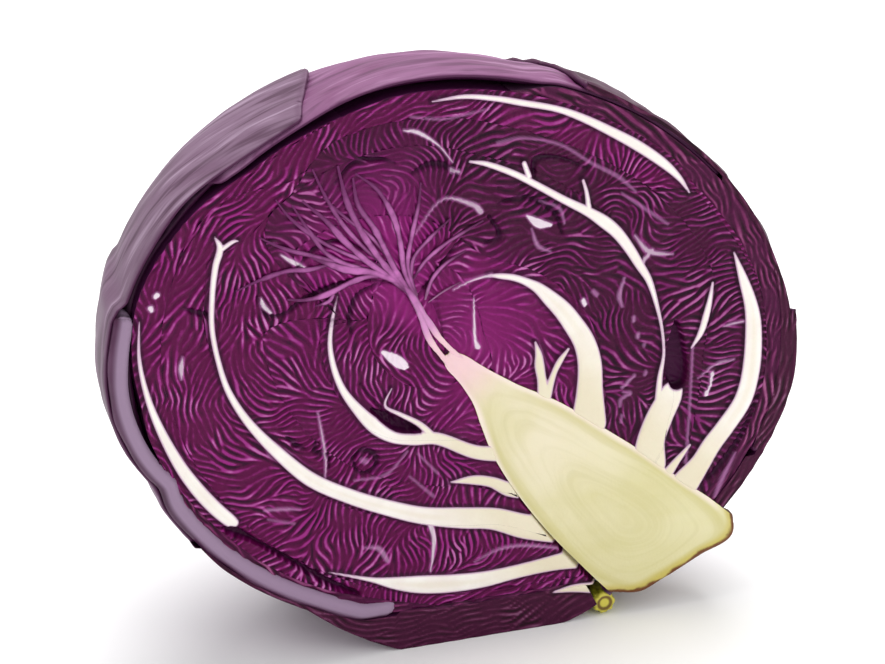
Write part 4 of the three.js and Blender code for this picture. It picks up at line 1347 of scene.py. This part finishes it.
inner_leaf("heart_bud", "heart_leaf", dict(
    side=180, middle=100, size=(118, 110), share=0.24,
    reach=[[-180, 25], [-150, 20], [-120, 15], [-90, 11.5], [-60, 9.5], [-17, 8.5], [17, 8],
           [76, 7.6], [106, 10], [130, 15], [160, 22]]),
    HEART_CUT, [[-180, 80], [-120, 60], [-60, 20], [60, 0], [160, -60]], 35)
inner_leaf("heart_leaf_1", "heart_leaf", dict(
    side=0, middle=83, size=(102, 98), share=0.3,
    reach=[[-180, 31], [17, 13], [24, 12.6], [50, 10.6], [76, 10.4], [106, 13.8], [122, 17.8],
           [150, 25]]),
    HEART_CUT, [[17, 0], [150, 0]], 20)
inner_leaf("heart_leaf_2", "heart_leaf", dict(
    side=180, middle=72, size=(90, 98), share=0.4,
    reach=[[-180, 37], [-165, 34.5], [-151, 32.5], [-136, 30.2], [-117, 27.8], [-94, 26],
           [-73, 24.2], [-53, 22.6], [-33, 23.8], [-17, 28.5]]),
    HEART_CUT, [[-180, 0], [-17, 0]], 22)
inner_leaf("heart_leaf_3", "heart_leaf", dict(
    side=180, middle=70, size=(88, 94), share=0.54,
    reach=[[-180, 48], [-165, 48], [-150, 47], [-140, 44.5], [-120, 40], [-100, 36.8], [-80, 35],
           [-60, 34], [-40, 35.6], [-30, 37.6], [-17, 44]]),
    HEART_CUT, [[-180, 60], [-150, 70], [-110, 62], [-80, 70], [-50, 95], [-20, 80]], 34)
inner_leaf("heart_leaf_4", "heart_leaf", dict(
    side=0, middle=93, size=(112, 96), share=0.48,
    reach=[[17, 48], [24, 44.5], [33, 41], [40, 39.4], [55, 35.8], [70, 31.6], [85, 28.4],
           [107, 25], [125, 26.5], [145, 34], [165, 41], [185, 47], [205, 50]]),
    HEART_CUT, [[17, 25], [80, 30], [107, 50], [150, 95], [180, 95], [205, 90]], 26)


# ---------------------------------------------------------------- the strands of the heart
# Bundles of thin stalks and veins rise from the tip of the stem and fan out into the young
# leaves. The cut has opened them lengthwise, so they stand out of the face as pink cords.

STRAND_SHARE = 1.15
STRAND_SINK = 0.2

# Each cord: how wide it is at its middle in millimetres, then its [degrees round, reach].
STRANDS = [
    (1.3, [[-15, 10], [-25, 5.4], [-42, 2.4], [-130, 1.6], [-164, 3.4], [-178, 6.3], [171, 11],
           [167, 16.6], [168, 23], [172, 30]]),
    (1.3, [[9, 10], [15, 5.4], [30, 2.4], [110, 1.3], [154, 3], [163, 5.3], [165.6, 12.9],
           [166, 19.7], [169, 27]]),
    (1.8, [[167, 20], [170, 23.7], [177, 29.6], [-177, 34.6], [-174, 40.9], [-173, 45]]),
    (1.5, [[168, 19], [172, 26], [175, 33], [176, 40.2], [176, 47], [177, 55]]),
    (1.6, [[167, 18], [169, 24], [170, 31.7], [169.5, 40.8], [168, 48.3], [165.4, 56.6]]),
    (1.5, [[165, 17], [167, 24], [166, 31], [165.4, 38], [166, 45.4], [163.6, 52]]),
    (1.3, [[164, 16], [163, 24], [159, 31], [157.6, 38], [159, 46], [162.6, 52.6]]),
    (1.2, [[163, 17], [160, 25], [153, 32], [148, 38.6], [146, 44]]),
    (1.1, [[163, 20], [156, 26], [146, 29.6], [136, 33.8]]),
    (1.1, [[161, 21], [150, 24.4], [138, 27.6], [128, 30.8], [122, 33.4]]),
    (1.0, [[158, 15], [148, 19.4], [138, 22.6], [127, 25.6]]),
    (1.4, [[172, 25], [178, 28.6], [-174, 31.4], [-165, 34.6], [-160, 38.6], [-158, 43]]),
    (1.1, [[175, 29], [-179, 34.8], [-177, 41], [-178.6, 48], [179.4, 56]]),
    (1.0, [[-178, 36], [-174, 43], [-171, 50], [-170, 57]]),
    (0.9, [[173, 30], [179, 38], [-178.6, 45], [-178, 53.6], [-179, 60]]),
    (1.0, [[171, 30], [172.6, 37], [173, 44], [172, 52], [170.6, 59.6]]),
    (0.9, [[167, 30], [168, 37], [171, 44], [172.6, 52]]),
    (1.1, [[-176, 38], [-170, 41.6], [-166, 46.4], [-161, 51], [-156, 55.6]]),
    (0.9, [[-168, 33.6], [-163, 33.2], [-159, 35.8]]),
    (0.4, [[156, 14], [140, 15.6], [126, 17.8]]),
]


def strand_shape(tree, given):
    """Turns the lines of the strands into flattened cords that taper to both ends, and stores
    how near the ridge of its cord each point is."""
    curves = node(tree, "GeometryNodeMeshToCurve", {"Mesh": given["Geometry"]}).outputs[0]
    smooth_line = node(tree, "GeometryNodeCurveSplineType", {"Curve": curves},
                       spline_type="CATMULL_ROM").outputs[0]
    even = node(tree, "GeometryNodeResampleCurve", {"Curve": smooth_line, "Length": given["Step"]},
                mode="LENGTH").outputs[0]
    along = node(tree, "GeometryNodeSplineParameter").outputs["Factor"]
    swell = times(tree, between(tree, along, 0.0, 0.2, 0.4, 1.0),
                  between(tree, along, 1.0, 0.6, 0.35, 1.0))
    wide = times(tree, named(tree, "width"), swell)
    place = node(tree, "GeometryNodeInputPosition").outputs[0]
    ripple = node(tree, "ShaderNodeTexNoise", {"Vector": place, "Scale": 260.0}).outputs["Fac"]
    wide = times(tree, wide, between(tree, ripple, 0.3, 0.7, 0.8, 1.15))
    sized = node(tree, "GeometryNodeSetCurveRadius", {"Curve": even, "Radius": wide}).outputs[0]
    ring = node(tree, "GeometryNodeCurvePrimitiveCircle", {"Resolution": 10, "Radius": 0.5})
    cord = node(tree, "GeometryNodeCurveToMesh", {"Curve": sized, "Profile Curve": ring.outputs[0],
                                                  "Scale": wide, "Fill Caps": True})
    middle = node(tree, "ShaderNodeSeparateXYZ", {0: place})
    level = sums(tree, "SUBTRACT", middle.outputs["Y"], given["Cut plane"])
    level = sums(tree, "MULTIPLY_ADD", level, given["Flatness"], given["Cut plane"])
    squashed = node(tree, "ShaderNodeCombineXYZ", {"X": middle.outputs["X"], "Y": level,
                                                   "Z": middle.outputs["Z"]}).outputs[0]
    flat = node(tree, "GeometryNodeSetPosition", {"Geometry": cord.outputs[0],
                                                  "Position": squashed}).outputs[0]
    out = sums(tree, "SUBTRACT", given["Cut plane"], middle.outputs["Y"])
    crown = times(tree, named(tree, "width"), times(tree, given["Flatness"], 0.5))
    flat = node(tree, "GeometryNodeStoreNamedAttribute", {
        "Geometry": flat, "Name": "ridge", "Value": sums(tree, "DIVIDE", out, crown)},
        data_type="FLOAT", domain="POINT").outputs[0]
    soft = node(tree, "GeometryNodeSetShadeSmooth", {"Geometry": flat}).outputs[0]
    real = node(tree, "GeometryNodeRealizeInstances", {"Geometry": soft}).outputs[0]
    return node(tree, "GeometryNodeSetMaterial", {"Geometry": real,
                                                  "Material": given["Strand material"]}).outputs[0]


def strand_material():
    """Pink and moist along its ridge and dark at its sides, whiter where it leaves the stem."""
    material, tree, shader = new_material("strand_flesh")
    fibres = noise(tree, 420.0, 4.0)
    place = node(tree, "ShaderNodeTexCoord").outputs["Object"]
    far = node(tree, "ShaderNodeVectorMath", {0: place, 1: HEART * MM},
               operation="DISTANCE").outputs["Value"]
    crown = between(tree, grown(tree, "ridge"), 0.1, 0.85)
    crown = times(tree, crown, between(tree, fibres, 0.25, 0.6, 0.55, 1.0))
    colour = blend(tree, crown, "560a48", "c06cb2")
    colour = blend(tree, between(tree, far, 0.03, 0.054, 0.0, 0.7), colour, "661458")
    colour = blend(tree, between(tree, far, 0.02, 0.009, 0.0, 0.7), colour, "d99ccb")
    colour = blend(tree, between(tree, far, 0.009, 0.003, 0.0, 0.9), colour, "ecc6cc")
    wire(tree, shader, Base_Color=colour, Roughness=0.42, Normal=bump(tree, fibres, 0.5, 0.15),
         Specular_IOR_Level=0.3, Subsurface_Weight=0.1, Subsurface_Radius=BLADE_GLOW)
    return material


def strand_lines():
    """The lines of the strands as bare edges, each point holding the width of its cord."""
    points, edges, widths = [], [], []
    for width, line in STRANDS:
        line = np.array(line, float)
        flat = on_cut(line[:, 0], line[:, 1])
        first = len(points)
        points += [[x, STRAND_SINK, z] for x, z in flat]
        edges += [[i, i + 1] for i in range(first, len(points) - 1)]
        widths += [STRAND_SHARE * width] * len(flat)
    mesh = bpy.data.meshes.new("heart_strands")
    mesh.from_pydata([((np.array(p) + HEART) * MM).tolist() for p in points], edges, [])
    data = mesh.attributes.new("width", "FLOAT", "POINT").data
    data.foreach_set("value", np.array(widths, np.float32) * MM)
    return mesh


strand_inputs = [("Step", "Float"), ("Flatness", "Float"), ("Cut plane", "Float"),
                 ("Strand material", "Material")]
strand_tree, strand_given, strand_made = geometry_tree("strand_shape", strand_inputs)
strand_tree.links.new(strand_shape(strand_tree, strand_given), strand_made["Geometry"])
strands = new_object("heart_strands", strand_lines())
apply_tree(strands, strand_tree, Step=0.6 * MM, Flatness=0.26, Cut_plane=CUT_Y * MM,
           Strand_material=strand_material())
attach(strands, "root")


# ---------------------------------------------------------------- the head leaves
# The grown leaves of the head, folded over one another from both sides of the stem. Their
# blades are thick and crumpled, and each has a midrib as thick as a finger at its base.

HEAD_CUT = cut_leaf_material("head_leaf_cut", Shadow="2c0324", Ground="58063f", Line="92267a",
                             Bright="c478b4")
DARK_CUT = cut_leaf_material("right_head_leaf_cut", Shadow="22031b", Ground="42052f", Line="72185e",
                             Bright="aa5c96")

inner_leaf("head_leaf_1", "head_leaf", dict(
    side=0, middle=91, size=(109, 94), share=0.64,
    reach=[[17, 65], [22, 63], [29, 61.4], [35, 58.4], [43, 55.3], [55, 53.3], [65, 52.4], [75, 51],
           [84, 49.4], [101, 48], [118, 48.2], [129, 49.2], [145, 53], [162, 56], [180, 58],
           [200, 60]]),
    DARK_CUT, [[17, 80], [40, 60], [60, 35], [90, 70], [120, 35], [150, 80], [200, 70]], 38)
inner_leaf("head_leaf_2", "head_leaf", dict(
    side=180, middle=78, size=(97, 94), share=0.72,
    reach=[[-180, 66], [-170, 66], [-161, 65], [-153, 62.3], [-146, 60], [-136, 56], [-125, 52.4],
           [-112, 48.7], [-98, 46.2], [-81, 44.8], [-64, 43.8], [-48, 44.7], [-35, 46.8], [-25, 50],
           [-15, 59]]),
    HEAD_CUT, [[-180, 10], [-150, 15], [-120, 60], [-90, 75], [-50, 85], [-15, 60]], 34)
inner_leaf("head_leaf_3", "head_leaf", dict(
    side=0, middle=81, size=(97, 82), share=0.76,
    reach=[[17, 72], [25, 69.5], [33, 67.6], [41, 66.6], [49, 67.6], [55, 68.6], [65, 66.5],
           [80, 62], [100, 57.5], [120, 56.5], [140, 59], [158, 61.5], [178, 64]]),
    DARK_CUT, [[17, 60], [45, 88], [70, 80], [95, 20], [120, 25], [150, 50], [178, 60]], 34)
inner_leaf("head_leaf_4", "head_leaf", dict(
    side=180, middle=86, size=(102, 86), share=0.8,
    reach=[[-190, 65.4], [-180, 67], [-170, 69.6], [-160, 71], [-140, 69.5], [-120, 65.5], [-100, 62.6],
           [-85, 61.6], [-70, 61.4], [-57, 62.4], [-48, 63.4], [-34, 65.8], [-21, 69.9], [-14, 74]]),
    HEAD_CUT, [[-190, 0], [-155, 0], [-130, 25], [-105, 55], [-80, 88], [-50, 75], [-14, 40]], 32)
inner_leaf("head_leaf_5", "head_leaf", dict(
    side=0, middle=36, size=(46, 62), share=0.84,
    reach=[[12, 82.6], [20, 83.8], [27, 84.4], [34, 84.2], [42, 82.7], [52, 80], [60, 76.4],
           [72, 71.5], [92, 66]]),
    DARK_CUT, [[12, 80], [50, 88], [92, 70]], 24)
inner_leaf("head_leaf_6", "head_leaf", dict(
    side=0, middle=128, size=(77, 84), share=0.86,
    reach=[[56, 74.5], [66, 72.6], [76, 71], [84, 70.2], [92, 68.4], [102, 66.4], [114, 65.4],
           [126, 65], [137, 65.4], [150, 66.4], [165, 66.8], [180, 68.4], [205, 72]]),
    HEAD_CUT, [[56, 85], [100, 60], [130, 15], [160, 5], [205, 0]], 24)
inner_leaf("head_leaf_7", "head_leaf", dict(
    side=180, middle=94, size=(106, 90), share=0.88,
    reach=[[-205, 66.6], [-190, 67], [-180, 69.4], [-174, 71.6], [-168, 73.8], [-162, 75.2],
           [-156, 76.6], [-148, 77.4], [-138, 76], [-130, 74], [-122, 73], [-112, 70.6],
           [-98, 67.6], [-84, 66.2], [-68, 65.2], [-52, 65.4], [-35, 69.6], [-20, 76],
           [-14, 79]]),
    HEAD_CUT, [[-205, 0], [-170, 0], [-140, 20], [-110, 40], [-70, 80], [-14, 20]], 26)


# ---------------------------------------------------------------- the outer leaves
# Looser leaves round the head. Their cut edges are dark and thin, and where they show
# between the wrapper leaves their skin is deep purple with little wax, darkened further as painted
# shade.

OUTER_CUT = cut_leaf_material("outer_leaf_cut", Shadow="240418", Ground="470c36", Line="6f2656",
                              Bright="98547f", Rib="f0e6ec")
# Partly painted shade: the outer leaves' skin is its own deep purple, made darker still as the shade in
# the gaps where it shows.
OUTER_SKIN = skin_material("outer_leaf_skin", 0.3, Skin="2c0b26", Bloom="5d435c", Streak="1e061b",
                           Vein="664a63", Edge="4a2a45")


def leaf_veins(half_length, half_width, spacing):
    """The raised veins of a grown leaf: a tapering midrib, and side veins that leave it at a
    slant and bend towards the tip."""
    def rise(along, across):
        forward = along / half_length
        wander = 2.6 * np.sin(along / 17 + 2) + 1.7 * np.sin(across / 9 + along / 23)
        midrib = np.exp(-(across / (2.8 - 1.2 * smooth(-0.9, 0.9, forward))) ** 2)
        midrib *= smooth(1.0, 0.55, forward)
        out = np.abs(across)
        source = along + wander - 1.0 * out - 0.02 * out ** 2
        shift = np.where(across > 0, spacing / 2, 0)
        off = (source + shift + spacing / 2) % spacing - spacing / 2
        off = off / np.hypot(1, 1.0 + 0.04 * out)
        side = np.exp(-(off / (2.0 - 0.6 * smooth(0, half_width, out))) ** 2)
        side *= smooth(half_width, half_width * 0.45, out) * smooth(0.5, 3, out)
        twig_off = (along - 1.5 * wander + 0.7 * out + spacing / 3) % (spacing * 0.7) - spacing * 0.35
        twigs = np.exp(-(twig_off / 1.3) ** 2) * 0.2 * smooth(6, 14, out)
        twigs *= smooth(0.2, 0.5, np.sin(source))
        return np.maximum(midrib, np.maximum(0.55 * side, twigs))
    return rise


# The loose leaves share one sheet of folds, which run straight along the cut edge.
LOOSE_FOLDS = fold_sheet([[-180, 0], [180, 0]], 5)


def loose_leaf(name, slot, place, net, cut, skin, spacing, **shape):
    """A leaf on the outside of the head, whose side veins are so many degrees apart."""
    leaf = pack_leaf(**place)
    veins = leaf_veins(*place["size"], spacing)
    mesh = leaf_mesh(name + "_blade", leaf, net, LOOSE_FOLDS, veins)
    make_leaf(name, slot, mesh, cut, skin, **shape)


loose_leaf("outer_leaf_1", "outer_leaf", dict(
    side=0, middle=56, size=(68, 84), share=0.92,
    reach=[[12, 86], [30, 87.8], [45, 86], [60, 82.4], [80, 75.2], [100, 70.6], [114, 68.6],
           [130, 67.6]]),
    face_net(87), OUTER_CUT, OUTER_SKIN, 12, Fold_depth=0.3)
loose_leaf("outer_leaf_2", "outer_leaf", dict(
    side=178, middle=52, size=(66, 76), share=0.93,
    reach=[[-122, 76], [-112, 74.6], [-98, 72.6], [-84, 70.8], [-68, 69.8], [-52, 71.4], [-35, 75.4],
           [-20, 80.5], [-13, 82]]),
    face_net(80), OUTER_CUT, OUTER_SKIN, 12, Fold_depth=0.3)
loose_leaf("outer_leaf_3", "outer_leaf", dict(
    side=90, middle=104, size=(84, 78), share=0.95, plate=5, set_back=3.4, waves=0.02, drape=2),
    UNDER_NET, OUTER_CUT, OUTER_SKIN, 13, Skin_rise=0.7, Crinkle=1.2)


# ---------------------------------------------------------------- the wrapper leaves
# The oldest leaves, which wrap the head. Each is a thin stiff plate with raised veins and a
# bloom of grey wax that is rubbed away in streaks. Those on the top and left end just behind
# the cut, and the lowest of them shows the thick silvery edge where it turns in.

WRAPPER_CUT = cut_leaf_material("wrapper_leaf_cut", Shadow="240618", Ground="400e2e", Line="5c2446",
                                Bright="805070", Rib="d8c8cf")
SILVER_CUT = cut_leaf_material("wrapper_leaf_silver_cut", Shadow="3a1c38", Ground="7c6480",
                               Line="a48ea6", Bright="c8b8ca", Rib="d8c8cf")
LEFT_SKIN = skin_material("wrapper_leaf_left_skin", 0.7, 0.8, 0.1, Skin="63405c", Bloom="80667c",
                          Streak="47283f", Vein="a890a6", Edge="5c3a56")
LOW_SKIN = skin_material("wrapper_leaf_low_left_skin", 0.4, 0.5, 0.3, Skin="42183a", Bloom="684060",
                         Streak="2c0826", Vein="7a5474", Edge="4f2243", Under="98809a")
TOP_SKIN = skin_material("wrapper_leaf_top_skin", 0.6, 0.7, 0.1, Skin="6a305c", Bloom="8c5e84",
                         Streak="4e2144", Vein="ac80a4", Edge="6a3560")
RIGHT_SKIN = skin_material("wrapper_leaf_right_skin", 0.25, 0.4, 0.3, Skin="3c0a2c", Bloom="5b2b4a",
                           Streak="260418", Vein="65405a", Edge="4f2243")
BACK_SKIN = skin_material("wrapper_leaf_back_skin", 0.6, 0.2, 0.6, Skin="562a4e", Bloom="7d647d",
                          Streak="40203a", Vein="a08ca0", Edge="6b4e69")

loose_leaf("wrapper_leaf_top", "wrapper_leaf", dict(
    side=42, middle=122, size=(62, 58), share=0.975, plate=2.6, set_back=1.2, waves=0.015, drape=2,
    turned=-25, rise=26,
    reach=[[80, 74.6], [93, 72.4], [103, 69.8], [114, 68.6], [123, 68.3], [131, 68.4], [141, 69],
           [151, 69.6], [159, 69.6], [168, 69.2], [180, 70.4], [200, 73]]),
    WRAPPER_NET, WRAPPER_CUT, TOP_SKIN, 13, Skin_rise=0.3, Crinkle=0.6)
loose_leaf("wrapper_leaf_right", "wrapper_leaf", dict(
    side=16, middle=66, size=(44, 66), share=0.985, plate=4.2,
    reach=[[22, 89.4], [30, 90], [38, 90.2], [47, 88.2], [56, 84.8], [68, 80.8], [80, 76.8],
           [93, 73.6], [107, 72], [120, 71]]),
    WRAPPER_NET, WRAPPER_CUT, RIGHT_SKIN, 12, Skin_rise=0.8, Crinkle=1.4, Sunk=0.1, Fold_depth=0.3)
loose_leaf("wrapper_leaf_stem", "wrapper_leaf", dict(
    side=30, middle=20, size=(23, 60), share=1, plate=3.6,
    reach=[[10, 89.4], [21, 91], [30, 92], [36, 92], [41, 91], [50, 89]]),
    WRAPPER_NET, WRAPPER_CUT, RIGHT_SKIN, 9, Skin_rise=0.8, Crinkle=1.2, Sunk=0.1, Fold_depth=0.3)
loose_leaf("wrapper_leaf_back", "wrapper_leaf", dict(
    side=102, middle=78, size=(64, 66), share=0.99, plate=3.6, set_back=16, waves=0.02, drape=3),
    WRAPPER_NET, WRAPPER_CUT, BACK_SKIN, 14, Skin_rise=1.0, Crinkle=1.4)
loose_leaf("wrapper_leaf_low_left", "wrapper_leaf", dict(
    side=173, middle=100, size=(46, 64), share=0.998, plate=4, set_back=0.5, waves=0.012, drape=2,
    rim=3.2,
    reach=[[-140, 81.4], [-132, 81], [-124, 79.1], [-118, 77], [-111, 73.4], [-104, 70],
           [-97, 67], [-60, 66]]),
    WRAPPER_NET, SILVER_CUT, LOW_SKIN, 11, Skin_rise=0.5, Crinkle=0.8, Fold_depth=0.15)
loose_leaf("wrapper_leaf_left", "wrapper_leaf", dict(
    side=144, middle=140, size=(50, 50), share=0.995, plate=2.6, set_back=1.4, waves=0.012, drape=2,
    turned=29, rise=22,
    reach=[[-205, 73], [-197, 71], [-191, 70.6], [-187, 71], [-180, 72.9], [-174, 75.3],
           [-168, 77.3], [-160, 78.4], [-149, 79.8], [-142, 79.2], [-132, 76], [-110, 70]]),
    WRAPPER_NET, WRAPPER_CUT, LEFT_SKIN, 12, Skin_rise=0.3, Crinkle=0.6)
loose_leaf("wrapper_leaf_under", "wrapper_leaf", dict(
    side=158, middle=45, size=(56, 66), share=1, lift=0,
    reach=[[-108, 74], [-98, 72.6], [-86, 71], [-73, 71.4], [-62, 74.4], [-50, 78.4], [-42, 80],
           [-30, 82], [-18, 83.6], [-12, 83.8]]),
    WRAPPER_NET, WRAPPER_CUT, BACK_SKIN, 13, Skin_rise=0.0, Crinkle=0.0, Sunk=0.1, Fold_depth=0.15)


# ---------------------------------------------------------------- the floor, light and camera
# A plain white floor, even white light with one large soft lamp above and behind, and the
# camera a little above the head and to its left.

FLOOR_SIZE = 6.0
floor_mesh = bpy.data.meshes.new("floor")
half = FLOOR_SIZE / 2
floor_mesh.from_pydata([(-half, -half, 0), (half, -half, 0), (half, half, 0), (-half, half, 0)], [],
                       [(0, 1, 2, 3)])
floor = new_object("floor", floor_mesh)
paper, tree, shader = new_material("white_paper")
tone = blend(tree, noise(tree, 3.0), "ffffff", "fafafa")
wire(tree, shader, Base_Color=tone, Roughness=0.9)
floor.data.materials.append(paper)

world = bpy.data.worlds.new("white_room")
bpy.context.scene.world = world
world.use_nodes = True
world.node_tree.nodes["Background"].inputs["Color"].default_value = (1, 1, 1, 1)
world.node_tree.nodes["Background"].inputs["Strength"].default_value = 0.78
bpy.context.scene.view_settings.view_transform = "Standard"


def aim(thing, place, target):
    """Puts a lamp or the camera somewhere in millimetres and points it at a target."""
    place, target = Vector(place) * MM, Vector(target) * MM
    thing.location = place
    thing.rotation_euler = (target - place).to_track_quat("-Z", "Y").to_euler()


def soft_lamp(name, size, power, place, target):
    light = bpy.data.lights.new(name, "AREA")
    light.shape = "DISK"
    light.size = size
    light.energy = power
    lamp = new_object(name, light)
    aim(lamp, place, target)


soft_lamp("overhead_lamp", 0.8, 8.0, (100, 250, 900), (0, 0, 60))
soft_lamp("front_lamp", 0.6, 2.0, (500, -900, 500), (0, 0, 70))

camera = new_object("camera", bpy.data.cameras.new("camera"))
camera.data.lens = 156.3
camera.data.sensor_width = 36
camera.data.clip_start = 0.01
aim(camera, (-272.7, -818.2, 448.8), (-5.07, -40.8, 82.77))
bpy.context.scene.camera = camera
